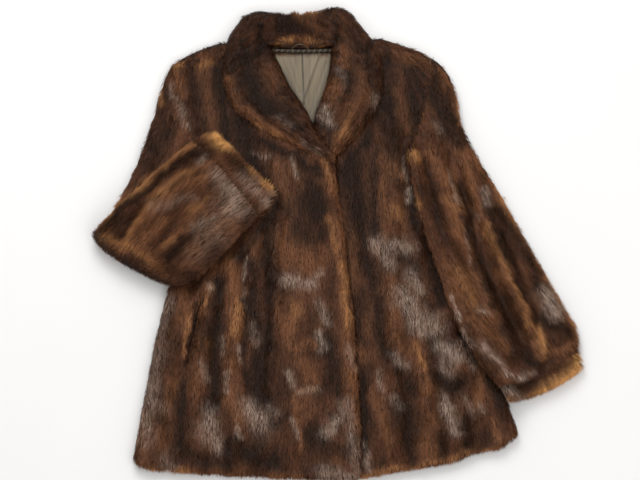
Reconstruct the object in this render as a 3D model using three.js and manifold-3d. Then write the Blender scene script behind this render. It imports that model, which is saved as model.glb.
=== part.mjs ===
// A hip-length fur coat with a shawl collar and full sleeves, lying flat on its back.
// Millimetres. +X is the coat's left side, +Y points to the collar, +Z is up from the surface.
// The coat's right sleeve is folded back over the chest, and its right front laps over the left.
import * as THREE from 'three';
import { mergeVertices } from 'three/addons/utils/BufferGeometryUtils.js';
import Module from 'manifold-3d';

const wasm = await Module();
wasm.setup();

// Driving dimensions.
const SEAM_GAP = 0.3;
const SEAM_CURVE_ROOM = 0.1;
const BACK_WALL = 8;
const FRONT_WALL = 9;
const UNDERLAP_WALL = 8;
const LINING_WALL = 1.2;
const FALL_WALL = 3.6;
const SLEEVE_THICKNESS = 20;
const CUFF_THICKNESS = 18;
const SLEEVE_SLIT = 1.5;
const RESTING_SINK = 0.6;
const FRONT_OVERLAP = 85;
const OVERLAP_RISE_START = 165;
const OVERLAP_RISE_END = 101;
const EDGE_ROUNDING = [[0, 0.4], [4, 0.82], [12, 1]];
const COLUMN_STEP = 24;
const ROW_STEP = 46;
const BACK_COLUMN_STEP = 110;
const LINING_COLUMN_STEP = 90;
const FALL_STEP = 200;
const BACK_EDGE_SHARE = 0.5;
const SLEEVE_EDGE_DROP = 34;
const SLEEVE_CLEARANCE = 1;
const SLEEVE_SQUARENESS = 3;
const SLEEVE_FULLNESS = 2.4;
const COLLAR_SQUARENESS = 2.6;
const COLLAR_FULLNESS = 2.2;
const COLLAR_EDGE_SHARE = 0.62;
const COLLAR_COLUMNS = [0, 0.05, 0.14, 0.32, 0.5, 0.68, 0.86, 0.95, 1];
const LOBE_STEPS = 18;
const ROLL_STEPS = 12;
const CUTTER_GROWTH = 0.45;
const POCKET_SLIT_WIDTH = 2.4;
const POCKET_STEPS = 8;
const POCKET_FLOOR_HEIGHT = 11;
const TRIM_RADIUS = 2.4;
const TRIM_STEPS = 20;
const TRIM_SIDES = 4;
const LOOP_RADIUS = 1.1;
const LOOP_STEPS = 12;
const LOOP_SIDES = 3;
const CUTTER_DEPTH = 30;
const CUTTER_HEIGHT = 120;
const MERGE_DISTANCE = 1e-3;
const ROUND_OFF = 1e-9;

const BACK_TOP = BACK_WALL;
const FRONT_BOTTOM = BACK_TOP + SEAM_GAP;
const FRONT_TOP = FRONT_BOTTOM + FRONT_WALL;
const UNDERLAP_TOP = FRONT_BOTTOM + UNDERLAP_WALL;
const OVERLAP_BOTTOM = UNDERLAP_TOP + 2 * SEAM_GAP;
const LINING_TOP = FRONT_BOTTOM + LINING_WALL;

// Outlines seen from above, each an ordered run of [x, y].
const RIGHT_SIDE = [[-296, -356], [-283, -279], [-272, -220], [-261, -162], [-242, -84], [-208, 16],
  [-187, 105], [-208, 178], [-216, 219], [-232, 267], [-237, 285]];
const LEFT_SIDE = [[314, -314], [304, -279], [288, -240], [248, -130], [192, 8], [141, 138], [160, 186],
  [173, 243], [176, 296]];
const FRONT_EDGE = [[61, -389], [64, -339], [62, -284], [56, -162], [50, -97], [43, -47], [35, 29],
  [27, 81], [24, 126]];
const RIGHT_HEM = [[-296, -356], [-288, -368], [-256, -374], [-192, -377], [-112, -382], [-32, -386],
  [61, -389]];
const LEFT_HEM = [[-24, -385], [61, -384], [107, -376], [160, -368], [224, -356], [256, -343],
  [288, -337], [304, -327], [314, -314]];
const BACK_HEM = [[-296, -356], [-256, -370], [-112, -377], [61, -379], [160, -364], [256, -340],
  [314, -314]];
const BACK_TOP_LINE = [[-237, 285], [-200, 305], [-147, 321], [-93, 314], [-35, 312], [22, 314],
  [78, 327], [107, 326], [131, 316], [154, 311], [176, 296]];
const RIGHT_NECKLINE = [[-237, 285], [-200, 305], [-147, 321], [-118, 316], [-96, 290], [-70, 233],
  [-38, 178], [-13, 152], [24, 126]];
const LEFT_NECKLINE = [[-58, 108], [-14, 150], [18, 207], [40, 275], [64, 321], [107, 326],
  [131, 316], [154, 311], [176, 296]];
const LINING_OUTLINE = {
  hem: [[-12, 172], [-7, 172], [-2, 172]],
  left: [[-12, 172], [-30, 205], [-66, 258], [-90, 306]],
  right: [[-2, 172], [9, 205], [21, 258], [29, 306]],
  top: [[-90, 306], [-30, 303], [29, 306]],
};

// Long soft ridges on the fronts: each runs from (x0, y0) to (x1, y1).
const FRONT_FOLDS = [
  { x0: -236, y0: -95, x1: -262, y1: -350, height: 4, width: 16 },
  { x0: -175, y0: -60, x1: -196, y1: -330, height: 5, width: 17 },
  { x0: -128, y0: -20, x1: -140, y1: -360, height: 4, width: 18 },
  { x0: -78, y0: 60, x1: -84, y1: -350, height: 3, width: 18 },
  { x0: 116, y0: 170, x1: 122, y1: -340, height: 4, width: 18 },
  { x0: 150, y0: 60, x1: 176, y1: -330, height: 5, width: 17 },
  { x0: 205, y0: -140, x1: 238, y1: -320, height: 5, width: 16 },
];

// Lengthwise folds of the full sleeves; a negative height is a trough.
const LEFT_SLEEVE_FOLDS = [
  { x0: 176, y0: 146, x1: 221, y1: 52, height: 6, width: 13 },
  { x0: 221, y0: 52, x1: 278, y1: -104, height: 9, width: 14 },
  { x0: 278, y0: -104, x1: 318, y1: -228, height: 8, width: 15 },
  { x0: 224, y0: 178, x1: 261, y1: 52, height: 6, width: 12 },
  { x0: 261, y0: 52, x1: 312, y1: -91, height: 10, width: 12 },
  { x0: 312, y0: -91, x1: 350, y1: -190, height: 9, width: 12 },
  { x0: 340, y0: -50, x1: 392, y1: -150, height: 7, width: 14 },
  { x0: 198, y0: -118, x1: 262, y1: -216, height: 6, width: 13 },
  { x0: 160, y0: 120, x1: 192, y1: 0, height: -4, width: 9 },
  { x0: 206, y0: 130, x1: 248, y1: 6, height: -5, width: 9 },
  { x0: 248, y0: 6, x1: 330, y1: -180, height: -6, width: 9 },
  { x0: 336, y0: -140, x1: 356, y1: -196, height: -8, width: 8 },
  { x0: 300, y0: -240, x1: 290, y1: -196, height: 5, width: 8 },
  { x0: 336, y0: -236, x1: 326, y1: -190, height: 5, width: 8 },
  { x0: 370, y0: -222, x1: 364, y1: -176, height: 6, width: 8 },
  { x0: 398, y0: -200, x1: 392, y1: -160, height: 5, width: 8 },
];
const RIGHT_SLEEVE_FOLDS = [
  { x0: -346, y0: 6, x1: -268, y1: 92, height: 9, width: 12 },
  { x0: -268, y0: 92, x1: -196, y1: 146, height: 8, width: 12 },
  { x0: -308, y0: -32, x1: -262, y1: 56, height: 10, width: 11 },
  { x0: -262, y0: 56, x1: -196, y1: 100, height: 8, width: 11 },
  { x0: -262, y0: -40, x1: -214, y1: 34, height: 7, width: 15 },
  { x0: -214, y0: 34, x1: -138, y1: 66, height: 7, width: 15 },
  { x0: -322, y0: -14, x1: -266, y1: 74, height: -7, width: 8 },
  { x0: -266, y0: 74, x1: -204, y1: 126, height: -6, width: 8 },
  { x0: -252, y0: -54, x1: -222, y1: -16, height: -8, width: 9 },
  { x0: -222, y0: -16, x1: -176, y1: -6, height: -5, width: 9 },
  { x0: -162, y0: 106, x1: -200, y1: 78, height: 5, width: 8 },
  { x0: -136, y0: 78, x1: -172, y1: 48, height: 5, width: 8 },
  { x0: -112, y0: 50, x1: -148, y1: 18, height: 5, width: 8 },
];

// Stations of the left sleeve from armhole to cuff seam. inX, inY is the edge beside the body,
// outX, outY the outer edge, lap how much of the width lies on the body.
const LEFT_SLEEVE = [
  { inX: 142.5, inY: 133, outX: 180, outY: 294, lap: 0, bow: -6 },
  { inX: 144, inY: 124, outX: 205, outY: 266, lap: 2, bow: -3 },
  { inX: 147, inY: 110, outX: 219, outY: 230, lap: 4, bow: 0 },
  { inX: 150, inY: 89, outX: 227, outY: 178, lap: 9, bow: 0 },
  { inX: 157, inY: 57, outX: 256, outY: 122, lap: 16, bow: 0 },
  { inX: 168, inY: 16, outX: 288, outY: 70, lap: 21, bow: 0 },
  { inX: 182, inY: -29, outX: 318, outY: 16, lap: 24, bow: 0 },
  { inX: 198, inY: -78, outX: 346, outY: -36, lap: 27, bow: 0 },
  { inX: 216, inY: -126, outX: 371, outY: -81, lap: 29, bow: 0 },
  { inX: 237, inY: -170, outX: 395, outY: -122, lap: 25, bow: 0 },
  { inX: 259, inY: -207, outX: 411, outY: -154, lap: 17, bow: -4 },
  { inX: 284, inY: -237, outX: 411, outY: -180, lap: 7, bow: -8 },
];
const LEFT_CUFF = [
  seamAfter(LEFT_SLEEVE[LEFT_SLEEVE.length - 1]),
  { inX: 293, inY: -252, outX: 417, outY: -195, lap: 3, bow: -8 },
  { inX: 299, inY: -265, outX: 421, outY: -208, lap: 2, bow: -8 },
];

// Stations of the right sleeve: down the upper arm, round the elbow fold (turn in degrees) and
// up the forearm. The edges are as above, bow pushes the middle of the station to the elbow.
const RIGHT_SLEEVE = [
  { inX: -188, inY: 106, outX: -238, outY: 285, z: 10, turn: 0, bow: 0 },
  { inX: -193, inY: 86, outX: -250, outY: 262, z: 10, turn: 0, bow: 0 },
  { inX: -199, inY: 62, outX: -262, outY: 222, z: 10, turn: 0, bow: 0 },
  { inX: -206, inY: 34, outX: -273, outY: 182, z: 10, turn: 0, bow: 0 },
  { inX: -214, inY: 6, outX: -288, outY: 140, z: 10, turn: 0, bow: 0 },
  { inX: -224, inY: -22, outX: -308, outY: 92, z: 10, turn: 0, bow: 4 },
  { inX: -235, inY: -46, outX: -330, outY: 52, z: 10, turn: 0, bow: 10 },
  { inX: -238, inY: -56, outX: -348, outY: 23, z: 10, turn: 0, bow: 6 },
  { inX: -234, inY: -65, outX: -356, outY: 11, z: 13.4, turn: 45, bow: 5 },
  { inX: -224, inY: -73, outX: -359, outY: 7, z: 21.5, turn: 90, bow: 4 },
  { inX: -210, inY: -75, outX: -357, outY: 10, z: 29.6, turn: 135, bow: 5 },
  { inX: -197, inY: -70, outX: -350, outY: 21, z: 33, turn: 180, bow: 6 },
  { inX: -185, inY: -59, outX: -334, outY: 37, z: 33, turn: 180, bow: 5 },
  { inX: -166, inY: -38, outX: -305, outY: 66, z: 33, turn: 180, bow: 0 },
  { inX: -146, inY: -18, outX: -274, outY: 95, z: 32.5, turn: 180, bow: 0 },
  { inX: -127, inY: 2, outX: -246, outY: 121, z: 32, turn: 180, bow: 0 },
  { inX: -110, inY: 20, outX: -222, outY: 142, z: 31, turn: 180, bow: 0 },
  { inX: -99, inY: 34, outX: -204, outY: 153, z: 30, turn: 180, bow: 0 },
];
const RIGHT_CUFF = [
  { ...seamAfter(RIGHT_SLEEVE[RIGHT_SLEEVE.length - 1]), z: 28.5 },
  { inX: -86, inY: 54, outX: -188, outY: 163, z: 27.8, turn: 180, bow: 0 },
  { inX: -76, inY: 70, outX: -173, outY: 168, z: 27.2, turn: 180, bow: 0 },
];

// Stations of the collar from the front end of each lobe to the back fold. rollX, rollY is the
// inner edge, edgeX, edgeY the outer edge, top the height of the fur between them.
const RIGHT_LOBE = [
  { rollX: 24, rollY: 131, edgeX: 22, edgeY: 124, top: 34 },
  { rollX: 0, rollY: 168, edgeX: -22, edgeY: 141, top: 36 },
  { rollX: -13, rollY: 185, edgeX: -50, edgeY: 156, top: 35 },
  { rollX: -22, rollY: 206, edgeX: -78, edgeY: 167, top: 34 },
  { rollX: -37, rollY: 228, edgeX: -104, edgeY: 183, top: 33 },
  { rollX: -53, rollY: 253, edgeX: -131, edgeY: 207, top: 32 },
  { rollX: -64, rollY: 276, edgeX: -149, edgeY: 232, top: 32 },
  { rollX: -74, rollY: 296, edgeX: -155, edgeY: 264, top: 32 },
  { rollX: -82, rollY: 316, edgeX: -154, edgeY: 295, top: 33 },
  { rollX: -86, rollY: 340, edgeX: -146, edgeY: 326, top: 32 },
  { rollX: -91, rollY: 358, edgeX: -134, edgeY: 345, top: 28 },
  { rollX: -98, rollY: 367, edgeX: -123, edgeY: 361, top: 22 },
];
const LEFT_LOBE = [
  { rollX: 12, rollY: 134, edgeX: 24, edgeY: 131, top: 25 },
  { rollX: -2, rollY: 160, edgeX: 38, edgeY: 147, top: 27 },
  { rollX: -8, rollY: 180, edgeX: 62, edgeY: 173, top: 29 },
  { rollX: -5, rollY: 202, edgeX: 80, edgeY: 198, top: 30 },
  { rollX: 4, rollY: 226, edgeX: 93, edgeY: 220, top: 31 },
  { rollX: 12, rollY: 250, edgeX: 99, edgeY: 245, top: 32 },
  { rollX: 17, rollY: 274, edgeX: 99, edgeY: 274, top: 32 },
  { rollX: 20, rollY: 300, edgeX: 93, edgeY: 305, top: 33 },
  { rollX: 21, rollY: 326, edgeX: 78, edgeY: 329, top: 32 },
  { rollX: 20, rollY: 350, edgeX: 62, edgeY: 350, top: 30 },
  { rollX: 18, rollY: 366, edgeX: 48, edgeY: 368, top: 25 },
  { rollX: 16, rollY: 374, edgeX: 33, edgeY: 375, top: 20 },
];
const BACK_ROLL = [
  { rollX: -112, rollY: 340, edgeX: -116, edgeY: 362, top: 26 },
  { rollX: -96, rollY: 320, edgeX: -104, edgeY: 368, top: 28 },
  { rollX: -86, rollY: 317, edgeX: -88, edgeY: 366, top: 29 },
  { rollX: -54, rollY: 316, edgeX: -54, edgeY: 368, top: 27 },
  { rollX: -22, rollY: 315.5, edgeX: -22, edgeY: 369, top: 26 },
  { rollX: 0, rollY: 316, edgeX: 0, edgeY: 371, top: 27 },
  { rollX: 18, rollY: 317, edgeX: 18, edgeY: 374, top: 29 },
  { rollX: 36, rollY: 322, edgeX: 34, edgeY: 374, top: 28 },
  { rollX: 54, rollY: 336, edgeX: 52, edgeY: 364, top: 26 },
];
const UNDER_FALL = { left: -112, right: 62, low: 262, high: 345 };

const RIGHT_POCKET = [[-186, -89], [-194, -120], [-211, -198]];
const LEFT_POCKET = [[210, -92], [219, -130], [237, -202]];
const NECK_TRIM = [[-84, 310, 0], [-60, 309, 0], [-30, 308.4, 0], [0, 309, 0], [24, 310, 0]];
const HANGER_LOOP = [[-45, 307, 0], [-43, 313, 2.4], [-32, 317, 6.4], [-21, 313, 2.4], [-19, 307, 0]];

// First station of the cuff that is sewn to a sleeve's last station.
function seamAfter(station) {
  const across = new THREE.Vector2(station.inX - station.outX, station.inY - station.outY);
  const onward = new THREE.Vector2(-across.y, across.x).setLength(SEAM_GAP + SEAM_CURVE_ROOM);
  return {
    ...station,
    inX: station.inX + onward.x,
    inY: station.inY + onward.y,
    outX: station.outX + onward.x,
    outY: station.outY + onward.y,
  };
}

// Smooth line through [x, y] or [x, y, z] points.
function lineThrough(points) {
  const knots = points.map(([x, y, z = 0]) => new THREE.Vector3(x, y, z));
  return new THREE.CatmullRomCurve3(knots, false, 'centripetal');
}

// The highest ridge and the deepest trough at a point, each rounded and fading at both ends.
function reliefAt(folds, x, y) {
  let ridge = 0;
  let trough = 0;
  for (const fold of folds) {
    const runX = fold.x1 - fold.x0;
    const runY = fold.y1 - fold.y0;
    const run = Math.hypot(runX, runY);
    const along = ((x - fold.x0) * runX + (y - fold.y0) * runY) / run;
    const aside = ((x - fold.x0) * runY - (y - fold.y0) * runX) / run;
    const beyond = Math.max(0, -along, along - run);
    const share = Math.exp(-((aside / fold.width) ** 2) - ((beyond / fold.width) ** 2));
    ridge = Math.max(ridge, fold.height * share);
    trough = Math.min(trough, fold.height * share);
  }
  return ridge + trough;
}

// Sample positions from 0 to 1 with the rounded edge's samples at both ends.
function edgeSamples(length, step) {
  const insets = EDGE_ROUNDING.map(([inset]) => inset / length);
  const inner = insets[insets.length - 1];
  const count = Math.max(1, Math.round((length * (1 - 2 * inner)) / step));
  const samples = [...insets];
  for (let i = 1; i < count; i += 1) {
    samples.push(inner + ((1 - 2 * inner) * i) / count);
  }
  return samples.concat(insets.map((inset) => 1 - inset).reverse());
}

// Share of the wall's full height at a sample, from its distance to the nearest edge in mm.
function edgeShare(distance) {
  for (let i = 1; i < EDGE_ROUNDING.length; i += 1) {
    const [innerInset, innerShare] = EDGE_ROUNDING[i];
    const [outerInset, outerShare] = EDGE_ROUNDING[i - 1];
    if (distance < innerInset) {
      const t = (distance - outerInset) / (innerInset - outerInset);
      return outerShare + (innerShare - outerShare) * t;
    }
  }
  return 1;
}

// Closed mesh from a grid of top points over a bottom, which is flat where it is a number.
function slabGeometry(rows, topOf, bottomOf) {
  const isFlat = typeof bottomOf === 'number';
  const rowCount = rows.length;
  const columnCount = rows[0].length;
  const layer = rowCount * columnCount;
  const positions = [];
  for (const height of [topOf, isFlat ? () => bottomOf : bottomOf]) {
    for (const row of rows) {
      for (const point of row) {
        positions.push(point.x, point.y, height(point));
      }
    }
  }
  const at = (row, column) => row * columnCount + column;
  const index = [];
  const quad = (a, b, c, d) => index.push(a, b, c, a, c, d);
  for (let r = 0; r + 1 < rowCount; r += 1) {
    for (let c = 0; c + 1 < columnCount; c += 1) {
      quad(at(r, c), at(r, c + 1), at(r + 1, c + 1), at(r + 1, c));
      if (!isFlat) {
        quad(layer + at(r, c), layer + at(r + 1, c), layer + at(r + 1, c + 1), layer + at(r, c + 1));
      }
    }
  }
  if (isFlat) {
    const border = borderOf(rowCount, columnCount).map(([r, c]) => ({ slot: at(r, c), ...rows[r][c] }));
    const contour = border.map((point) => new THREE.Vector2(point.x, point.y));
    for (const [a, b, c] of THREE.ShapeUtils.triangulateShape(contour, [])) {
      index.push(layer + border[c].slot, layer + border[b].slot, layer + border[a].slot);
    }
  }
  for (let c = 0; c + 1 < columnCount; c += 1) {
    const last = rowCount - 1;
    quad(layer + at(0, c), layer + at(0, c + 1), at(0, c + 1), at(0, c));
    quad(at(last, c), at(last, c + 1), layer + at(last, c + 1), layer + at(last, c));
  }
  for (let r = 0; r + 1 < rowCount; r += 1) {
    const last = columnCount - 1;
    quad(at(r, 0), at(r + 1, 0), layer + at(r + 1, 0), layer + at(r, 0));
    quad(layer + at(r, last), layer + at(r + 1, last), at(r + 1, last), at(r, last));
  }
  const geometry = new THREE.BufferGeometry();
  geometry.setAttribute('position', new THREE.Float32BufferAttribute(positions, 3));
  geometry.setIndex(index);
  return withoutSpares(geometry);
}

// Row and column of each point round a grid's border, first row, last column, and back.
function borderOf(rowCount, columnCount) {
  const border = [];
  for (let c = 0; c < columnCount; c += 1) border.push([0, c]);
  for (let r = 1; r < rowCount; r += 1) border.push([r, columnCount - 1]);
  for (let c = columnCount - 2; c >= 0; c -= 1) border.push([rowCount - 1, c]);
  for (let r = rowCount - 2; r > 0; r -= 1) border.push([r, 0]);
  return border;
}

// The geometry with only the points that its faces use.
function withoutSpares(geometry) {
  const { array } = geometry.attributes.position;
  const slots = new Map();
  const positions = [];
  const index = Array.from(geometry.index.array, (old) => {
    if (!slots.has(old)) {
      slots.set(old, slots.size);
      positions.push(array[3 * old], array[3 * old + 1], array[3 * old + 2]);
    }
    return slots.get(old);
  });
  const trimmed = new THREE.BufferGeometry();
  trimmed.setAttribute('position', new THREE.Float32BufferAttribute(positions, 3));
  trimmed.setIndex(index);
  return trimmed;
}

// Grid of plan points inside four border lines. u runs from left to right, v from hem to top.
function panelRows({ hem, left, right, top }, columnStep = COLUMN_STEP, rowStep = ROW_STEP) {
  const lines = { hem: lineThrough(hem), left: lineThrough(left), right: lineThrough(right) };
  lines.top = lineThrough(top);
  const width = Math.max(lines.hem.getLength(), lines.top.getLength());
  const length = Math.max(lines.left.getLength(), lines.right.getLength());
  const [hemLeft, hemRight] = [0, 1].map((t) => lines.hem.getPointAt(t));
  const [topLeft, topRight] = [0, 1].map((t) => lines.top.getPointAt(t));
  return edgeSamples(length, rowStep).map((v) => {
    const leftPoint = lines.left.getPointAt(v);
    const rightPoint = lines.right.getPointAt(v);
    return edgeSamples(width, columnStep).map((u) => {
      const point = lines.hem.getPointAt(u).multiplyScalar(1 - v);
      point.addScaledVector(lines.top.getPointAt(u), v);
      point.addScaledVector(leftPoint, 1 - u);
      point.addScaledVector(rightPoint, u);
      point.addScaledVector(hemLeft, -(1 - u) * (1 - v));
      point.addScaledVector(hemRight, -u * (1 - v));
      point.addScaledVector(topLeft, -(1 - u) * v);
      point.addScaledVector(topRight, -u * v);
      const inset = Math.min(u * width, (1 - u) * width, v * length, (1 - v) * length);
      return { x: point.x, y: point.y, share: edgeShare(inset) };
    });
  });
}

// The same rows with their border moved outwards, for a cutter that leaves a gap.
function grownRows(rows) {
  const pushOut = (border, inner) => {
    const away = new THREE.Vector2(border.x - inner.x, border.y - inner.y).setLength(CUTTER_GROWTH);
    return { ...border, x: border.x + away.x, y: border.y + away.y };
  };
  const wider = rows.map((row) => {
    const last = row.length - 1;
    return row.map((point, column) => {
      if (column === 0) return pushOut(point, row[1]);
      return column === last ? pushOut(point, row[last - 1]) : point;
    });
  });
  const lastRow = rows.length - 1;
  return wider.map((row, r) => row.map((point, column) => {
    if (r === 0) return pushOut(point, wider[1][column]);
    return r === lastRow ? pushOut(point, wider[lastRow - 1][column]) : point;
  }));
}

// Closed solid for joining and cutting.
function solidOf(geometry) {
  const mesh = new wasm.Mesh({
    numProp: 3,
    vertProperties: new Float32Array(geometry.attributes.position.array),
    triVerts: new Uint32Array(geometry.index.array),
  });
  return new wasm.Manifold(mesh);
}

// Geometry of a solid's largest piece.
function geometryOf(solid) {
  const pieces = solid.decompose();
  pieces.sort((a, b) => b.volume() - a.volume());
  const mesh = pieces[0].getMesh();
  const geometry = new THREE.BufferGeometry();
  geometry.setAttribute('position', new THREE.Float32BufferAttribute(mesh.vertProperties, 3));
  geometry.setIndex(Array.from(mesh.triVerts));
  return geometry;
}

// Solid that takes away all that lies in or under a panel, with the seam gap round it.
function cutterOf(rows, topOf) {
  const top = (point) => topOf(point) + SEAM_GAP;
  return solidOf(slabGeometry(grownRows(rows), top, -CUTTER_DEPTH));
}

function subtractAll(solid, cutters) {
  return cutters.reduce((rest, cutter) => rest.subtract(cutter), solid);
}

// Narrow upright blade along a line, which cuts a pocket mouth into a front.
function pocketBlade(points) {
  const line = lineThrough(points);
  const rows = [];
  for (let i = 0; i <= POCKET_STEPS; i += 1) {
    const middle = line.getPointAt(i / POCKET_STEPS);
    const along = line.getTangentAt(i / POCKET_STEPS);
    const half = POCKET_SLIT_WIDTH / 2;
    rows.push([-half, half].map((side) => ({
      x: middle.x - along.y * side,
      y: middle.y + along.x * side,
    })));
  }
  const geometry = slabGeometry(rows, () => CUTTER_HEIGHT, () => POCKET_FLOOR_HEIGHT);
  return solidOf(outwards(geometry));
}

// Table of stations read as smooth functions of their position, first to last.
function stationReader(stations) {
  const names = Object.keys(stations[0]);
  const count = stations.length - 1;
  const clampIndex = (i) => Math.min(count, Math.max(0, i));
  return (t) => {
    const place = Math.min(t * count, count - ROUND_OFF);
    const i = Math.floor(place);
    const f = place - i;
    const station = {};
    for (const name of names) {
      const [a, b, c, d] = [-1, 0, 1, 2].map((k) => stations[clampIndex(i + k)][name]);
      const bend = (2 * a - 5 * b + 4 * c - d) * f * f + (3 * (b - c) + d - a) * f ** 3;
      station[name] = b + 0.5 * ((c - a) * f + bend);
    }
    return station;
  };
}

// X of a run of points at a height y, with straight stretches between them.
function xOnLine(points, y) {
  const last = points.length - 1;
  if (y <= points[0][1]) return points[0][0];
  if (y >= points[last][1]) return points[last][0];
  const next = points.findIndex((point) => point[1] > y);
  const [x0, y0] = points[next - 1];
  const [x1, y1] = points[next];
  return x0 + ((x1 - x0) * (y - y0)) / (y1 - y0);
}

function smoothStep(t) {
  const clamped = Math.min(1, Math.max(0, t));
  return clamped * clamped * (3 - 2 * clamped);
}

// Ring of points round a flattened sleeve at one station. reach is the half thickness and
// inset the distance from each edge at which the ring starts. What would sink below the
// surface lies flat on it.
function sleeveRing(station, half, reach, inset, liftOf) {
  const edgeOut = new THREE.Vector3(station.outX, station.outY, 0);
  const edgeIn = new THREE.Vector3(station.inX, station.inY, 0);
  const across = edgeIn.clone().sub(edgeOut);
  const width = across.length();
  const ahead = new THREE.Vector3(across.y, -across.x, 0).divideScalar(width);
  const turn = THREE.MathUtils.degToRad(station.turn ?? 0);
  const normal = new THREE.Vector3(0, 0, Math.cos(turn)).addScaledVector(ahead, -Math.sin(turn));
  const ring = [];
  for (let k = 0; k < 2 * half; k += 1) {
    const side = k <= half ? 1 : -1;
    const spread = (1 - Math.cos((Math.PI * k) / half)) / 2;
    const s = inset / width + (1 - (2 * inset) / width) * spread;
    const rounding = (1 - Math.abs(2 * spread - 1) ** SLEEVE_SQUARENESS) ** (1 / SLEEVE_FULLNESS);
    const point = edgeOut.clone().addScaledVector(across, s);
    point.addScaledVector(ahead, (station.bow ?? 0) * 4 * s * (1 - s));
    point.addScaledVector(normal, side * reach * rounding);
    point.z += liftOf(station, point, s * width, side * Math.cos(turn) * rounding);
    point.z = Math.max(0, point.z);
    ring.push(point);
  }
  return ring;
}

// Closed flattened tube: an outer and an inner loft joined at both open ends.
function sleeveGeometry({ stations, outerCount, innerCount, half, thickness, wall, outerLift,
  innerLift }) {
  const read = stationReader(stations);
  const loft = (count, reach, inset, lift) => Array.from({ length: count + 1 }, (_, i) =>
    sleeveRing(read(i / count), half, reach, inset, lift));
  const outer = loft(outerCount, thickness / 2 + RESTING_SINK, 0, outerLift);
  const inner = loft(innerCount, SLEEVE_SLIT / 2, wall, innerLift);
  const positions = [];
  const index = [];
  const size = 2 * half;
  const addRings = (rings) => {
    const first = positions.length / 3;
    rings.flat().forEach((point) => positions.push(point.x, point.y, point.z));
    return first;
  };
  const outerStart = addRings(outer);
  const innerStart = addRings(inner);
  const band = (ringA, ringB, flip) => {
    for (let k = 0; k < size; k += 1) {
      const next = (k + 1) % size;
      const [a, b, c, d] = [ringA + k, ringA + next, ringB + next, ringB + k];
      index.push(...(flip ? [a, c, b, a, d, c] : [a, b, c, a, c, d]));
    }
  };
  for (let i = 0; i < outerCount; i += 1) {
    band(outerStart + i * size, outerStart + (i + 1) * size, false);
  }
  for (let i = 0; i < innerCount; i += 1) {
    band(innerStart + i * size, innerStart + (i + 1) * size, true);
  }
  band(innerStart, outerStart, false);
  band(outerStart + outerCount * size, innerStart + innerCount * size, false);
  const geometry = new THREE.BufferGeometry();
  geometry.setAttribute('position', new THREE.Float32BufferAttribute(positions, 3));
  geometry.setIndex(index);
  return outwards(geometry);
}

// The geometry with its faces turned outwards.
function outwards(geometry) {
  const { array } = geometry.attributes.position;
  const index = geometry.index.array;
  const corner = (i) => new THREE.Vector3().fromArray(array, 3 * index[i]);
  let volume = 0;
  for (let i = 0; i < index.length; i += 3) {
    volume += corner(i).dot(corner(i + 1).cross(corner(i + 2)));
  }
  if (volume < 0) {
    geometry.setIndex(Array.from(index).reverse());
  }
  return geometry;
}

// Height of the left sleeve: up on the body at its inner edge and down on the surface outside it.
function leftSleeveLift(thickness, folds) {
  return (station, point, fromOuter, sideShare) => {
    const width = Math.hypot(station.outX - station.inX, station.outY - station.inY);
    const beyondLap = width - fromOuter - station.lap;
    const onBody = 1 - smoothStep(beyondLap / SLEEVE_EDGE_DROP);
    const relief = Math.max(0, sideShare) * reliefAt(folds, point.x, point.y);
    return thickness / 2 + (FRONT_TOP + SLEEVE_CLEARANCE) * onBody + relief;
  };
}

// Height of the right sleeve. Its forearm shows its folds, the layers beneath stay flat.
function rightSleeveLift(folds) {
  return (station, point, fromOuter, sideShare) => {
    const shows = Math.max(0, -Math.cos(THREE.MathUtils.degToRad(station.turn)));
    const upper = Math.max(0, sideShare) * shows;
    return station.z + upper * reliefAt(folds, point.x, point.y);
  };
}

// Rounded pad between the roll edge and the outer edge of a run of collar stations.
function collarPad(stations, count) {
  const read = stationReader(stations);
  const rows = Array.from({ length: count + 1 }, (_, i) => {
    const station = read(i / count);
    return COLLAR_COLUMNS.map((share) => ({
      x: station.rollX + (station.edgeX - station.rollX) * share,
      y: station.rollY + (station.edgeY - station.rollY) * share,
      top: station.top,
      rounding: (1 - Math.abs(2 * share - 1) ** COLLAR_SQUARENESS) ** (1 / COLLAR_FULLNESS),
    }));
  });
  const height = (point) => point.top
    * (COLLAR_EDGE_SHARE + (1 - COLLAR_EDGE_SHARE) * point.rounding);
  return solidOf(outwards(slabGeometry(rows, height, () => 0)));
}

// Round tube along a smooth line.
function tubeGeometry(points, radius, steps, sides, baseHeight) {
  const line = lineThrough(points.map(([x, y, z]) => [x, y, z + baseHeight]));
  const section = new THREE.Shape();
  section.absarc(0, 0, radius, 0, 2 * Math.PI);
  const options = { steps, curveSegments: sides, extrudePath: line };
  const geometry = new THREE.ExtrudeGeometry(section, options);
  geometry.deleteAttribute('normal');
  geometry.deleteAttribute('uv');
  return mergeVertices(geometry, MERGE_DISTANCE);
}

function furMaterial(color) {
  return new THREE.MeshStandardMaterial({ color, roughness: 0.75, metalness: 0 });
}

const FUR_DARK = 0x3c2319;
const FUR_WARM = 0x4a2a1c;
const FUR_GINGER = 0x7a4a26;
const LINING_OLIVE = 0x8c826e;
const BRAID_DARK = 0x2c2620;

const coat = new THREE.Group();

function addPiece(name, geometry, material) {
  const mesh = new THREE.Mesh(geometry, material);
  mesh.name = name;
  coat.add(mesh);
}

// Body: a back, a left front on it, and the right front, which rises over the left one.
const backRows = panelRows({
  hem: BACK_HEM, left: RIGHT_SIDE, right: LEFT_SIDE, top: BACK_TOP_LINE,
}, BACK_COLUMN_STEP);
const backTop = (point) => BACK_TOP * (BACK_EDGE_SHARE + (1 - BACK_EDGE_SHARE) * point.share);
const liningRows = panelRows(LINING_OUTLINE, LINING_COLUMN_STEP);

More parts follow.
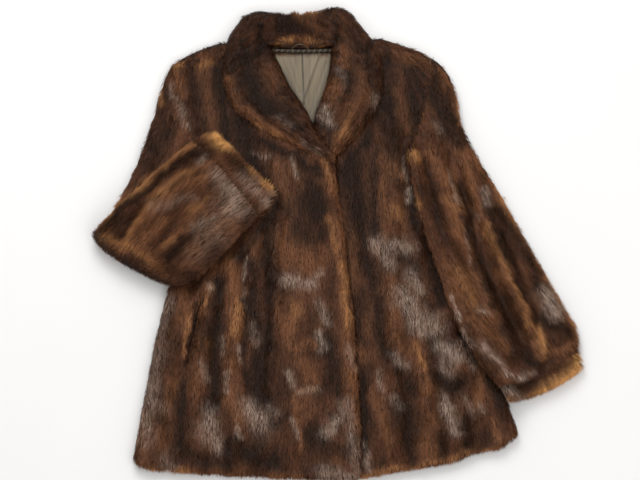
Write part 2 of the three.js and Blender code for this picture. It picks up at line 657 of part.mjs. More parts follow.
const rightFrontRows = panelRows({
  hem: RIGHT_HEM, left: RIGHT_SIDE, right: FRONT_EDGE, top: RIGHT_NECKLINE,
});
const rightFrontBottom = (point) => {
  const inset = xOnLine(FRONT_EDGE, point.y) - point.x;
  const rise = smoothStep((OVERLAP_RISE_START - inset) / (OVERLAP_RISE_START - OVERLAP_RISE_END));
  return FRONT_BOTTOM + (OVERLAP_BOTTOM - FRONT_BOTTOM) * rise;
};
const rightFrontTop = (point) => rightFrontBottom(point)
  + point.share * (FRONT_WALL + reliefAt(FRONT_FOLDS, point.x, point.y));

const hiddenEdge = FRONT_EDGE.slice(0, -1).map(([x, y]) => [x - FRONT_OVERLAP, y]);
hiddenEdge[0] = LEFT_HEM[0];
hiddenEdge.push(LEFT_NECKLINE[0]);
const leftFrontRows = panelRows({
  hem: LEFT_HEM, left: hiddenEdge, right: LEFT_SIDE, top: LEFT_NECKLINE,
});
const leftFrontTop = (point) => FRONT_BOTTOM
  + point.share * (UNDERLAP_WALL + reliefAt(FRONT_FOLDS, point.x, point.y));

const fallRows = panelRows({
  hem: [[UNDER_FALL.left, UNDER_FALL.low], [UNDER_FALL.right, UNDER_FALL.low]],
  left: [[UNDER_FALL.left, UNDER_FALL.low], [UNDER_FALL.left, UNDER_FALL.high]],
  right: [[UNDER_FALL.right, UNDER_FALL.low], [UNDER_FALL.right, UNDER_FALL.high]],
  top: [[UNDER_FALL.left, UNDER_FALL.high], [UNDER_FALL.right, UNDER_FALL.high]],
}, FALL_STEP, FALL_STEP);

const backCutter = cutterOf(backRows, () => BACK_TOP);
const leftFrontCutter = cutterOf(leftFrontRows, leftFrontTop);
const rightFrontCutter = cutterOf(rightFrontRows, rightFrontTop);
const liningCutter = cutterOf(liningRows, () => LINING_TOP);
const fallCutter = cutterOf(fallRows, () => FALL_WALL);
const bodyCutters = [backCutter, leftFrontCutter, rightFrontCutter];

const back = solidOf(slabGeometry(backRows, backTop, 0)).subtract(fallCutter);
addPiece('back', geometryOf(back), furMaterial(FUR_DARK));

const leftFront = solidOf(slabGeometry(leftFrontRows, leftFrontTop, FRONT_BOTTOM))
  .subtract(pocketBlade(LEFT_POCKET));
addPiece('left_front', geometryOf(leftFront), furMaterial(FUR_WARM));

const rightFront = solidOf(slabGeometry(rightFrontRows, rightFrontTop, rightFrontBottom))
  .subtract(pocketBlade(RIGHT_POCKET));
addPiece('right_front', geometryOf(rightFront), furMaterial(FUR_DARK));

// Lining where it shows in the neck opening.
const lining = solidOf(slabGeometry(liningRows, () => LINING_TOP, FRONT_BOTTOM));
addPiece('lining', geometryOf(lining), new THREE.MeshStandardMaterial({
  color: LINING_OLIVE, roughness: 0.45, metalness: 0,
}));

// Shawl collar: two lobes on the fronts, the rolled stand behind the neck, and its fall, which
// is pressed flat between the back and the surface.
const fall = solidOf(slabGeometry(fallRows, () => FALL_WALL, 0));
const trimHeight = LINING_TOP + SEAM_GAP + TRIM_RADIUS;
const trimCutter = solidOf(tubeGeometry(
  NECK_TRIM,
  TRIM_RADIUS + CUTTER_GROWTH,
  TRIM_STEPS,
  TRIM_SIDES,
  trimHeight,
));
const collarShell = subtractAll(
  collarPad(RIGHT_LOBE, LOBE_STEPS)
    .add(collarPad(LEFT_LOBE, LOBE_STEPS))
    .add(collarPad(BACK_ROLL, ROLL_STEPS)),
  [...bodyCutters, liningCutter, trimCutter],
);
addPiece('collar', geometryOf(collarShell.add(fall)), furMaterial(FUR_DARK));

// Sleeves and their cuffs.
const leftSleeve = sleeveGeometry({
  stations: LEFT_SLEEVE, outerCount: 22, innerCount: 8, half: 14,
  thickness: SLEEVE_THICKNESS, wall: FRONT_WALL,
  outerLift: leftSleeveLift(SLEEVE_THICKNESS, LEFT_SLEEVE_FOLDS),
  innerLift: leftSleeveLift(SLEEVE_THICKNESS, []),
});
addPiece('left_sleeve', geometryOf(subtractAll(solidOf(leftSleeve), bodyCutters)),
  furMaterial(FUR_WARM));

const leftCuff = sleeveGeometry({
  stations: LEFT_CUFF, outerCount: 3, innerCount: 1, half: 11,
  thickness: CUFF_THICKNESS, wall: FRONT_WALL - 1,
  outerLift: leftSleeveLift(CUFF_THICKNESS, []),
  innerLift: leftSleeveLift(CUFF_THICKNESS, []),
});
addPiece('left_cuff', geometryOf(subtractAll(solidOf(leftCuff), bodyCutters)),
  furMaterial(FUR_GINGER));

const rightSleeve = sleeveGeometry({
  stations: RIGHT_SLEEVE, outerCount: 31, innerCount: 17, half: 14,
  thickness: SLEEVE_THICKNESS, wall: FRONT_WALL,
  outerLift: rightSleeveLift(RIGHT_SLEEVE_FOLDS),
  innerLift: rightSleeveLift([]),
});
addPiece('right_sleeve', geometryOf(subtractAll(solidOf(rightSleeve), bodyCutters)),
  furMaterial(FUR_WARM));

const rightCuff = sleeveGeometry({
  stations: RIGHT_CUFF, outerCount: 3, innerCount: 1, half: 11,
  thickness: CUFF_THICKNESS, wall: FRONT_WALL - 1,
  outerLift: rightSleeveLift([]),
  innerLift: rightSleeveLift([]),
});
addPiece('right_cuff', geometryOf(subtractAll(solidOf(rightCuff), bodyCutters)),
  furMaterial(FUR_GINGER));

// Braid along the neck seam and the hanger loop that is sewn on it.
addPiece('neck_trim', tubeGeometry(NECK_TRIM, TRIM_RADIUS, TRIM_STEPS, TRIM_SIDES, trimHeight),
  new THREE.MeshStandardMaterial({ color: BRAID_DARK, roughness: 0.7, metalness: 0 }));
const loopHeight = trimHeight + TRIM_RADIUS + SEAM_GAP + LOOP_RADIUS;
addPiece('hanger_loop', tubeGeometry(HANGER_LOOP, LOOP_RADIUS, LOOP_STEPS, LOOP_SIDES, loopHeight),
  new THREE.MeshStandardMaterial({ color: LINING_OLIVE, roughness: 0.6, metalness: 0 }));

// The origin is at the middle of the coat's outline, on the surface.
const outline = new THREE.Box3().setFromObject(coat);
const middle = outline.getCenter(new THREE.Vector3());
coat.position.set(-middle.x, -middle.y, 0);

export default coat;
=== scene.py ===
"""A hip-length fur coat laid flat: pelts with their pile, satin neck lining, braid and cord loop.

Lengths are in metres, unless a name or docstring says that they are in points of the plan.
"""

import logging
import math
from dataclasses import dataclass, field
from enum import Enum

import bmesh
import bpy
import numpy as np
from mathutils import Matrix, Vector
from mathutils.bvhtree import BVHTree


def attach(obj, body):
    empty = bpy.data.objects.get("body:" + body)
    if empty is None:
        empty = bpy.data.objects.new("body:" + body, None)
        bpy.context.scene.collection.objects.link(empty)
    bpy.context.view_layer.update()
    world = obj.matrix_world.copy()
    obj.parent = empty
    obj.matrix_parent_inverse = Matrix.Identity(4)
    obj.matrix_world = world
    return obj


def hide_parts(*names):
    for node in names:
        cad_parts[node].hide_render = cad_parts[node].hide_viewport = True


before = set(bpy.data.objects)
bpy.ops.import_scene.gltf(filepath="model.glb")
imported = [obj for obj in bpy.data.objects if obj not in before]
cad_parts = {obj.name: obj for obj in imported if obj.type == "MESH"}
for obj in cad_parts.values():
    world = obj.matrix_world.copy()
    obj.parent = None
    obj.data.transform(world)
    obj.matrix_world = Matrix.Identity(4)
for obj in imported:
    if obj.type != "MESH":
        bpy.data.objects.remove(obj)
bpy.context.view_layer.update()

LOG = logging.getLogger("fur_coat")
BODY = "root"
SEED = 20731
TRIMS = ("neck_trim", "hanger_loop")
UP = Vector((0.0, 0.0, 1.0))
HIGH = 0.15

# Steps off a face before a ray starts, and slopes, which are the upward part of a direction.
MERGE = 0.00002
CLEAR = 0.0002
OFF_FACE = 0.0008
OFF_WALL = 0.0001
SMALLEST = 1e-9
DOWNWARD = -0.6
SIDEWAYS = 0.05
SEAM_SIDEWAYS = 0.02
MOST_LAYERS = 4

# How the pelt is sunk below the pile, and how it meets its neighbours at a seam.
PILE_DEPTH = 0.005
DEPTH_AT_SEAM = 0.2
RIM_INSET = 0.25
RIM_WITH_NAP = 1.55
RIM_AGAINST_NAP = 1.15
FOLD_GAP = 0.003
WALL_GAP = 0.005
WALL_SLOPE = 0.5
OWN_SKIN = 0.0045
HAIR_COVER = 0.011
SEAM_CLEAR = 0.002
SEAM_REACH = 0.012
SEAM_STEPS = (0.0015, 0.003, 0.005, 0.007, 0.009, 0.012, 0.015)
SEAM_STEP_DOWN = 0.006
SEAM_LEVEL = 0.002
SEAM_LIFT = 0.0003

# One hair is a quad and a triangle. The cells, drifts and softness are in plan points.
STRAND_POINTS = 5
STRAND_FACES = 2
STRAND_CORNERS = 7
MOST_STRANDS = 65000
WANDER_CELLS = (14.0, 6.0)
FINE_WANDER = 0.6
DRIFT_CELLS = (9.0, 11.0)
DRIFT = (4.5, 8.0)
RAGGED = (0.75, 0.5)
NAP_SOFTNESS = 60.0

# Where a hair's corners are along it, and on its own cell of the flat layout.
STRAND_PLACES = (0.0, 0.0, 0.5, 0.5, 1.0)
STRAND_FLAT = ((0.12, 0.1), (0.88, 0.1), (0.18, 0.5), (0.82, 0.5), (0.5, 0.92))

# What the soft noise mixes its lattice with.
LATTICE = (374761393, 668265263, 97531, 1274126177)
LOW_32 = 0xFFFFFFFF
LOW_16 = 0xFFFF

# A spot is a place in plan points.
Colour = tuple[float, float, float]
Triple = tuple[float, float, float]
Spot = tuple[float, float]
Pair = tuple[float, float]


class Tone(Enum):
    """The tones that a streak of the pile may have, some of them painted light and shade."""

    # Rust-brown fur, and also painted highlight on ridges and rims.
    RUST_AND_HIGHLIGHT = 0
    # Ginger fur, and also painted highlight on ridges and rims.
    GINGER_AND_HIGHLIGHT = 1
    # Painted sheen: lighter, greyish hairs where the pile would catch the light.
    PAINTED_SHEEN = 2
    # The pelts' dark stripes, and also painted shade in troughs, folds and under edges.
    DARK_AND_SHADE = 3


@dataclass(frozen=True)
class LaidPlan:
    """The flat plan, 640 by 480 points, and how it lies on the coat."""

    across: float = 0.0016
    down: float = 0.00162
    middle: Spot = (320.0, 240.0)
    shift: Pair = (-0.03105, 0.007)

    def read(self, places: np.ndarray) -> np.ndarray:
        """Finds places of the coat on the plan.

        Args:
            places: x and y in metres, one place a row.

        Returns:
            The same places in plan points.
        """
        x = (places[:, 0] - self.shift[0]) / self.across + self.middle[0]
        y = self.middle[1] - (places[:, 1] - self.shift[1]) / self.down
        return np.stack([x, y], axis=1)


PLAN = LaidPlan()


@dataclass(frozen=True)
class Streak:
    """A soft band of one tone, from start to end in plan points."""

    tone: Tone
    start: Spot
    end: Spot
    width: float
    strength: float = 1.0


@dataclass(frozen=True)
class Nap:
    """One given stroke that the hairs near it follow, in plan points."""

    start: Spot
    end: Spot


@dataclass(frozen=True)
class Crease:
    """A soft ridge, or a trough where height is negative, in plan points and metres."""

    start: Spot
    end: Spot
    height: float
    width: float


def distance_to(points: np.ndarray, start: Spot, end: Spot) -> np.ndarray:
    """How far plan points are from a stroke.

    Args:
        points: plan points, one a row.
        start: where the stroke begins.
        end: where the stroke ends.

    Returns:
        One distance for each point.
    """
    origin = np.array(start)
    along = np.array(end) - origin
    share = np.clip(((points - origin) @ along) / max(float(along @ along), SMALLEST), 0.0, 1.0)
    return np.linalg.norm(points - origin - share[:, None] * along, axis=1)


def soft_noise(points: np.ndarray, seed: int) -> np.ndarray:
    """Smooth noise from 0 to 1 at flat points, with one lattice cell to a unit.

    Args:
        points: flat points, one a row.
        seed: which noise it is.

    Returns:
        One value for each point.
    """
    cell = np.floor(points).astype(np.int64)
    part = points - cell
    part = part * part * (3.0 - 2.0 * part)

    def corner(right: int, up: int) -> np.ndarray:
        """Mixes the lattice's own value at one corner of each cell.

        Args:
            right: 0 for the cell's left corners, 1 for its right ones.
            up: 0 for its lower corners, 1 for its upper ones.

        Returns:
            One value from 0 to 1 for each cell.
        """
        mixed = (cell[:, 0] + right) * LATTICE[0] + (cell[:, 1] + up) * LATTICE[1] + seed * LATTICE[2]
        mixed = ((mixed & LOW_32) ^ ((mixed & LOW_32) >> 13)) * LATTICE[3]
        return (((mixed & LOW_32) ^ ((mixed & LOW_32) >> 16)) & LOW_16) / LOW_16

    low = corner(0, 0) * (1 - part[:, 0]) + corner(1, 0) * part[:, 0]
    high = corner(0, 1) * (1 - part[:, 0]) + corner(1, 1) * part[:, 0]
    return low * (1 - part[:, 1]) + high * part[:, 1]


def unit(vectors: np.ndarray) -> np.ndarray:
    """The same directions, each one long."""
    return vectors / np.maximum(np.linalg.norm(vectors, axis=1, keepdims=True), SMALLEST)


def run_length(points: np.ndarray) -> np.ndarray:
    """How far along a run each of its points is."""
    return np.concatenate([[0.0], np.cumsum(np.linalg.norm(np.diff(points, axis=0), axis=1))])


def stand(label: str, data: bpy.types.ID) -> bpy.types.Object:
    """Puts a new object with its data into the scene.

    Args:
        label: the object's name.
        data: its mesh, curve, camera or lamp.

    Returns:
        The new object.
    """
    thing = bpy.data.objects.new(label, data)
    bpy.context.scene.collection.objects.link(thing)
    return thing


def split_long_edges(shape: bmesh.types.BMesh, longest: float, passes: int) -> None:
    """Halves the long edges of the faces that don't look straight down.

    Args:
        shape: the mesh.
        longest: the length that an edge may keep.
        passes: how often it is done at most.
    """
    for _ in range(passes):
        long_edges = [edge for edge in shape.edges if edge.calc_length() > longest
                      and any(face.normal.z > DOWNWARD for face in edge.link_faces)]
        if not long_edges:
            break
        bmesh.ops.subdivide_edges(shape, edges=long_edges, cuts=1)
        bmesh.ops.triangulate(shape, faces=[face for face in shape.faces if len(face.verts) > 3])


def copied_solid(node: str) -> bmesh.types.BMesh:
    """Copies a solid to work on, with its doubled corners merged.

    Args:
        node: the solid's name.

    Returns:
        The copy.
    """
    shape = bmesh.new()
    shape.from_mesh(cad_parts[node].data)
    bmesh.ops.remove_doubles(shape, verts=shape.verts, dist=MERGE)
    return shape


def finished_mesh(shape: bmesh.types.BMesh, label: str) -> bpy.types.Mesh:
    """Turns the worked shape into a mesh.

    Args:
        shape: the worked shape, which is used up.
        label: the mesh's name.

    Returns:
        The mesh.
    """
    mesh = bpy.data.meshes.new(label)
    shape.to_mesh(mesh)
    shape.free()
    return mesh


def shade_smooth(mesh: bpy.types.Mesh) -> None:
    """Shades all faces of a mesh smoothly."""
    mesh.polygons.foreach_set("use_smooth", np.ones(len(mesh.polygons), dtype=bool))


def add_values(mesh: bpy.types.Mesh, name: str, kind: str, field_name: str, values: np.ndarray) -> None:
    """Gives each corner of a mesh a named value.

    Args:
        mesh: the mesh.
        name: the attribute's name.
        kind: its type.
        field_name: the field that holds one value.
        values: the values, in the corners' order.
    """
    layer = mesh.attributes.new(name, kind, "POINT")
    layer.data.foreach_set(field_name, values.astype(np.float32).ravel())


class NodeGraph:
    """Adds and wires the shader nodes of one material."""

    def __init__(self, name: str) -> None:
        """Starts a material with its surface shader.

        Args:
            name: the material's name.
        """
        self.material = bpy.data.materials.new(name)
        self.material.use_nodes = True
        self.tree = self.material.node_tree
        self.tree.nodes.clear()
        output = self.add("ShaderNodeOutputMaterial")
        self.surface = self.add("ShaderNodeBsdfPrincipled")
        self.tree.links.new(self.surface.outputs["BSDF"], output.inputs["Surface"])

    def add(self, kind: str, inputs: dict | None = None, **settings: object) -> bpy.types.Node:
        """Adds a node.

        Args:
            kind: the node's type.
            inputs: values or sockets by the input's name or number.
            settings: the node's own properties.

        Returns:
            The new node.
        """
        node = self.tree.nodes.new(kind)
        for key, value in settings.items():
            setattr(node, key, value)
        for key, value in (inputs or {}).items():
            if isinstance(value, bpy.types.NodeSocket):
                self.tree.links.new(value, node.inputs[key])
            else:
                node.inputs[key].default_value = value
        return node

    def math(self, operation: str, first: object, second: object = 0.0,
             clamped: bool = False) -> bpy.types.NodeSocket:
        """Adds one sum.

        Args:
            operation: which sum it is.
            first: its first value or socket.
            second: its second value or socket.
            clamped: whether the result is held from 0 to 1.

        Returns:
            The result's socket.
        """
        node = self.add("ShaderNodeMath", {0: first, 1: second}, operation=operation)
        node.use_clamp = clamped
        return node.outputs[0]

    def mix(self, share: object, first: object, second: object) -> bpy.types.NodeSocket:
        """Mixes two colours.

        Args:
            share: how much of the second one, as a value or socket.
            first: the first colour or its socket.
            second: the second colour or its socket.

        Returns:
            The mixed colour's socket.
        """
        node = self.add("ShaderNodeMix", data_type="RGBA")
        for index, value in ((0, share), (6, first), (7, second)):
            if isinstance(value, bpy.types.NodeSocket):
                self.tree.links.new(value, node.inputs[index])
            elif index == 0:
                node.inputs[index].default_value = value
            else:
                node.inputs[index].default_value = (*value, 1.0)
        return node.outputs[2]

    def shade(self, colour: object, share: object) -> bpy.types.NodeSocket:
        """Multiplies a colour by a brightness.

        Args:
            colour: the colour's socket.
            share: the brightness's socket.

        Returns:
            The new colour's socket.
        """
        node = self.add("ShaderNodeVectorMath", {0: colour}, operation="SCALE")
        self.tree.links.new(share, node.inputs["Scale"])
        return node.outputs[0]

    def scaled(self, vector: bpy.types.NodeSocket, scale: Triple,
               turn: Triple = (0.0, 0.0, 0.0)) -> bpy.types.NodeSocket:
        """Coordinates stretched and turned by a mapping."""
        node = self.add("ShaderNodeMapping", {"Vector": vector, "Scale": scale, "Rotation": turn})
        return node.outputs[0]

    def noise(self, vector: bpy.types.NodeSocket, scale: float = 1.0, detail: float = 2.0,
              distortion: float = 0.0) -> bpy.types.NodeSocket:
        """Cloudy noise from 0 to 1."""
        inputs = {"Vector": vector, "Scale": scale, "Detail": detail, "Distortion": distortion}
        return self.add("ShaderNodeTexNoise", inputs).outputs[0]

    def ramp(self, share: bpy.types.NodeSocket,
             stops: list[tuple[float, Colour]]) -> bpy.types.NodeSocket:
        """Reads a colour from a ramp.

        Args:
            share: where on the ramp it is read.
            stops: the ramp's places and colours.

        Returns:
            The colour's socket.
        """
        node = self.add("ShaderNodeValToRGB", {0: share})
        elements = node.color_ramp.elements
        while len(elements) < len(stops):
            elements.new(0.5)
        for element, (place, colour) in zip(elements, stops):
            element.position = place
            element.color = (*colour, 1.0)
        return node.outputs[0]

    def stretch(self, value: bpy.types.NodeSocket, low: float, high: float, first: float = 0.0,
                last: float = 1.0) -> bpy.types.NodeSocket:
        """A value taken from one range to another, and held inside it."""
        inputs = {"Value": value, "From Min": low, "From Max": high, "To Min": first, "To Max": last}
        return self.add("ShaderNodeMapRange", inputs).outputs[0]

    def bump(self, height: bpy.types.NodeSocket, strength: float, depth: float) -> None:
        """Gives the surface a fine relief."""
        node = self.add("ShaderNodeBump", {"Height": height, "Strength": strength, "Distance": depth})
        self.tree.links.new(node.outputs[0], self.surface.inputs["Normal"])

    def finish(self, colour: bpy.types.NodeSocket, roughness: object) -> bpy.types.Material:
        """Wires colour and roughness to the surface.

        Args:
            colour: the colour's socket.
            roughness: a value or socket.

        Returns:
            The finished material.
        """
        self.tree.links.new(colour, self.surface.inputs["Base Color"])
        if isinstance(roughness, bpy.types.NodeSocket):
            self.tree.links.new(roughness, self.surface.inputs["Roughness"])
        else:
            self.surface.inputs["Roughness"].default_value = roughness
        return self.material


@dataclass(frozen=True)
class MinkFinish:
    """The pile's finish: dark, streaky brown with rust and ginger hairs, painted sheen, and painted highlight
    and shade along ridges, rims and troughs.
    """

    name: str
    deep: Colour = (0.0165, 0.0076, 0.0046)
    brown: Colour = (0.0780, 0.0300, 0.0155)
    warm: Colour = (0.205, 0.083, 0.039)
    # Rust and ginger: the fur's own colours, which streaks also lay as painted highlight on ridges and rims.
    rust: Colour = (0.310, 0.128, 0.056)
    ginger: Colour = (0.620, 0.290, 0.108)
    # The light greyish colour that painted sheen mixes in.
    painted_sheen: Colour = (0.600, 0.455, 0.365)
    tip: float = 0.25
    gloss: float = 0.42
    specular: float = 0.08
    streak_scale: Triple = (300.0, 26.0, 1.0)
    pelt_scale: Triple = (30.0, 13.0, 1.0)
    of_streaks: float = 0.34
    of_pelts: float = 0.52
    of_hair: float = 0.14
    # How far dark streaks, the pelts' dark stripes and painted shade, lower the ramp.
    of_dark_and_shade: float = 0.42
    stops: Triple = (0.16, 0.50, 0.88)
    # Painted shade: hairs darker at the root than at the tip, and darker still under dark streaks.
    root_and_tip_light: Pair = (0.42, 1.12)
    dark_and_shade_light: float = 0.55

    def material(self) -> bpy.types.Material:
        """Builds the material, which reads the nap of each hair and its tones, painted sheen, highlight and
        shade among them.

        Returns:
            The material.
        """
        graph = NodeGraph(self.name)
        nap = graph.add("ShaderNodeAttribute", attribute_name="nap").outputs["Vector"]
        hair = graph.add("ShaderNodeAttribute", attribute_name="hair").outputs["Vector"]
        tint_and_painted_light = graph.add("ShaderNodeAttribute", attribute_name="tint_and_painted_light")
        apart = graph.add("ShaderNodeSeparateXYZ", {0: hair}).outputs
        tones = graph.add("ShaderNodeSeparateColor", {0: tint_and_painted_light.outputs["Color"]}).outputs
        # The dark share: the pelts' dark stripes, and painted shade in troughs and under edges.
        dark = tint_and_painted_light.outputs["Alpha"]
        streaks = graph.noise(graph.scaled(nap, self.streak_scale), detail=2.0)
        pelts = graph.noise(graph.scaled(nap, self.pelt_scale), detail=3.0, distortion=0.6)
        pelts = graph.stretch(pelts, 0.34, 0.66)
        value = graph.math("ADD", graph.math("MULTIPLY", streaks, self.of_streaks),
                           graph.math("MULTIPLY", pelts, self.of_pelts))
        value = graph.math("ADD", value, graph.math("MULTIPLY", apart[0], self.of_hair))
        value = graph.math("SUBTRACT", value, graph.math("MULTIPLY", dark, self.of_dark_and_shade), clamped=True)
        colour = graph.ramp(value, list(zip(self.stops, (self.deep, self.brown, self.warm))))
        lively = graph.math("ADD", graph.stretch(streaks, 0.34, 0.62, 0.15, 0.80),
                            graph.math("MULTIPLY", apart[0], 0.45))
        # Which hairs of a sheen streak are lightened: painted sheen, patchy across the streaks.
        sheen_spread = graph.math("ADD", graph.math("MULTIPLY", streaks, 0.9),
                            graph.math("MULTIPLY", apart[0], 0.65))
        sheen_spread = graph.stretch(sheen_spread, 0.44, 0.98, 0.0, 1.0)
        bright = graph.math("ADD", lively, 0.20)
        # Rust and ginger streaks mix in reddish fur and painted highlight; sheen streaks mix in painted
        # sheen.
        for tone, target, spread in ((Tone.RUST_AND_HIGHLIGHT, self.rust, lively), (Tone.GINGER_AND_HIGHLIGHT, self.ginger, bright),
                                     (Tone.PAINTED_SHEEN, self.painted_sheen, sheen_spread)):
            share = graph.math("MULTIPLY", tones[tone.value], spread, clamped=True)
            colour = graph.mix(share, colour, target)
        tip = graph.math("MULTIPLY", graph.math("POWER", apart[1], 2.0), self.tip)
        colour = graph.mix(tip, colour, self.rust)
        # Painted shade at the roots and under dark streaks, and a lighter tip.
        depth = graph.math("MULTIPLY", graph.stretch(apart[1], 0.0, 1.0, *self.root_and_tip_light),
                           graph.stretch(dark, 0.0, 1.0, 1.0, self.dark_and_shade_light))
        colour = graph.shade(colour, depth)
        graph.surface.inputs["Specular IOR Level"].default_value = self.specular
        roughness = graph.stretch(streaks, 0.25, 0.75, self.gloss + 0.10, self.gloss - 0.06)
        return graph.finish(colour, roughness)


@dataclass(frozen=True)
class PeltFinish:
    """The leather and underfur below the guard hairs."""

    name: str = "underfur"
    deep: Colour = (0.012, 0.007, 0.0055)
    brown: Colour = (0.045, 0.020, 0.012)

    def material(self) -> bpy.types.Material:
        """Builds the material from noise on the pelt itself.

        Returns:
            The material.
        """
        graph = NodeGraph(self.name)
        place = graph.add("ShaderNodeTexCoord").outputs["Object"]
        coarse = graph.noise(graph.scaled(place, (40.0, 12.0, 20.0)), detail=3.0)
        fine = graph.noise(graph.scaled(place, (900.0, 160.0, 500.0)), detail=2.0)
        value = graph.math("ADD", graph.math("MULTIPLY", coarse, 0.5), graph.math("MULTIPLY", fine, 0.5))
        colour = graph.ramp(value, [(0.35, self.deep), (0.65, self.brown)])
        graph.bump(fine, strength=0.6, depth=0.0008)
        return graph.finish(colour, 0.75)


@dataclass(frozen=True)
class SatinFinish:
    """Olive-grey satin with a fine rib, a soft gloss, the seam's dark line, and painted shade in its creases
    and along the edges round it.
    """

    name: str = "lining_satin"
    light: Colour = (0.255, 0.200, 0.126)
    shadow: Colour = (0.130, 0.100, 0.060)
    stitch_and_shade: Colour = (0.045, 0.035, 0.022)
    rib: float = 900.0
    of_clouds: float = 0.7
    of_ribs: float = 0.22
    of_threads: float = 0.16
    seam_and_shade_depth: float = 0.75

    def material(self) -> bpy.types.Material:
        """Builds the satin from ribs and clouds on the cloth itself.

        Returns:
            The material.
        """
        graph = NodeGraph(self.name)
        place = graph.add("ShaderNodeTexCoord").outputs["Object"]
        ribs = graph.add("ShaderNodeTexWave", {
            "Vector": graph.scaled(place, (1.0, 0.02, 0.02), (0.0, 0.0, 0.07)),
            "Scale": self.rib / (2.0 * math.pi), "Distortion": 0.6, "Detail": 1.0,
        }, wave_type="BANDS", bands_direction="X").outputs[1]
        clouds = graph.noise(graph.scaled(place, (46.0, 11.0, 10.0)), detail=3.0, distortion=0.5)
        threads = graph.noise(graph.scaled(place, (2600.0, 300.0, 300.0)), detail=1.0)
        value = graph.math("ADD", graph.math("MULTIPLY", clouds, self.of_clouds),
                           graph.math("MULTIPLY", ribs, self.of_ribs))
        value = graph.math("ADD", value, graph.math("MULTIPLY", threads, self.of_threads))
        # The seam's dark line and painted shade in creases and along edges, read from the cloth.
        seam = graph.add("ShaderNodeAttribute", attribute_name="seam").outputs["Fac"]
        value = graph.math("SUBTRACT", value, graph.math("MULTIPLY", seam, self.seam_and_shade_depth), clamped=True)
        colour = graph.ramp(value, [(0.05, self.stitch_and_shade), (0.30, self.shadow), (0.78, self.light)])
        graph.bump(graph.math("ADD", ribs, graph.math("MULTIPLY", threads, 0.5)), strength=0.25, depth=0.0003)
        graph.surface.inputs["Sheen Weight"].default_value = 0.05
        graph.surface.inputs["Sheen Roughness"].default_value = 0.3
        return graph.finish(colour, graph.stretch(clouds, 0.2, 0.8, 0.38, 0.52))


@dataclass(frozen=True)
class YarnFinish:
    """Matt twisted yarn, for the braid and the loop's cord."""

    name: str
    light: Colour
    shadow: Colour

    def material(self) -> bpy.types.Material:
        """Builds the yarn from fine fibres on the piece itself.

        Returns:
            The material.
        """
        graph = NodeGraph(self.name)
        place = graph.add("ShaderNodeTexCoord").outputs["Object"]
        fibres = graph.noise(graph.scaled(place, (900.0, 2600.0, 2600.0), (0.0, 0.0, 0.6)), detail=3.0)
        clouds = graph.noise(place, scale=160.0, detail=2.0)
        value = graph.math("ADD", graph.math("MULTIPLY", fibres, 0.6), graph.math("MULTIPLY", clouds, 0.4))
        colour = graph.ramp(value, [(0.35, self.shadow), (0.65, self.light)])
        graph.bump(fibres, strength=0.5, depth=0.0004)
        return graph.finish(colour, graph.stretch(fibres, 0.2, 0.8, 0.6, 0.85))


def mesh_arrays(mesh: bpy.types.Mesh) -> tuple[np.ndarray, np.ndarray, np.ndarray]:
    """Reads a mesh of triangles.

    Args:
        mesh: the mesh.

    Returns:
        Its corners, its triangles, and the direction that each corner faces.
    """
    points = np.empty(len(mesh.vertices) * 3, dtype=np.float32)
    mesh.vertices.foreach_get("co", points)
    triangles = np.empty(len(mesh.polygons) * 3, dtype=np.int32)
    mesh.polygons.foreach_get("vertices", triangles)
    normals = np.empty(len(mesh.vertices) * 3, dtype=np.float32)
    mesh.vertices.foreach_get("normal", normals)
    return (points.reshape(-1, 3).astype(float), triangles.reshape(-1, 3),
            normals.reshape(-1, 3).astype(float))


class Solids:
    """A search tree over some of the frame's solids, which knows whose face it meets."""

    def __init__(self, names: list[str]) -> None:
        """Gathers the faces of some solids.

        Args:
            names: the solids' names.
        """
        points: list[Vector] = []
        faces: list[tuple[int, ...]] = []
        self.owners: list[str] = []
        for name in names:
            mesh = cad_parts[name].data
            start = len(points)
            points.extend(vertex.co.copy() for vertex in mesh.vertices)
            faces.extend(tuple(start + i for i in face.vertices) for face in mesh.polygons)
            self.owners.extend([name] * len(mesh.polygons))
        self.tree = BVHTree.FromPolygons(points, faces)

    def reach(self, start: Vector, way: Vector, most: float) -> float:
        """How far a ray goes before it meets a face, up to the most that it may."""
        found = self.tree.ray_cast(start, way.normalized(), most)[3]
        return most if found is None else found

    def top(self, place: Vector) -> float | None:
        """The height of the highest face over or under a place, or None."""
        hit = self.tree.ray_cast(Vector((place.x, place.y, HIGH)), -UP)[0]
        return None if hit is None else hit.z

    def covers(self, start: Vector, own: str) -> bool:
        """Whether something lies above a point of a solid.

        Args:
            start: the point.
            own: the solid that the point is on, whose skin just above it doesn't count.

        Returns:
            True if it is covered.
        """
        place, risen = start.copy(), 0.0
        for _ in range(MOST_LAYERS):
            hit, _, index, far = self.tree.ray_cast(place, UP)
            if hit is None:
                return False
            risen += far
            if self.owners[index] != own or risen > OWN_SKIN:
                return True
            place = hit + UP * CLEAR
        return False


@dataclass(frozen=True)
class Pile:
    """How the hairs of one piece stand: sizes in metres, angles in degrees."""

    length: float = 0.0135
    lengths: Pair = (0.72, 1.15)
    shorter_with_nap: float = 0.25
    shorter_against_nap: float = 0.45
    width: float = 0.0010
    widths: Pair = (0.7, 1.25)
    taper: float = 0.8
    root_lean: float = 36.0
    tip_lean: float = 11.0
    lean_spread: float = 7.0
    droop: float = 0.10
    flatness: float = 0.85
    bend_at: float = 0.5
    wander: float = 9.0
    scatter: float = 5.0
    roll: float = 30.0
    root_depth: float = 0.0004
    lowest: float = 0.0003
    shade_of_skin: float = 0.70
    shade_of_hair: float = 0.45
    shade_spread: float = 0.05
    per_square_metre: float = 520000.0


@dataclass
class Strands:
    """Hairs of one piece while they are made: one row for each hair."""

    roots: np.ndarray
    normals: np.ndarray
    flow: np.ndarray

    def __len__(self) -> int:
        """How many hairs there are."""
        return len(self.roots)


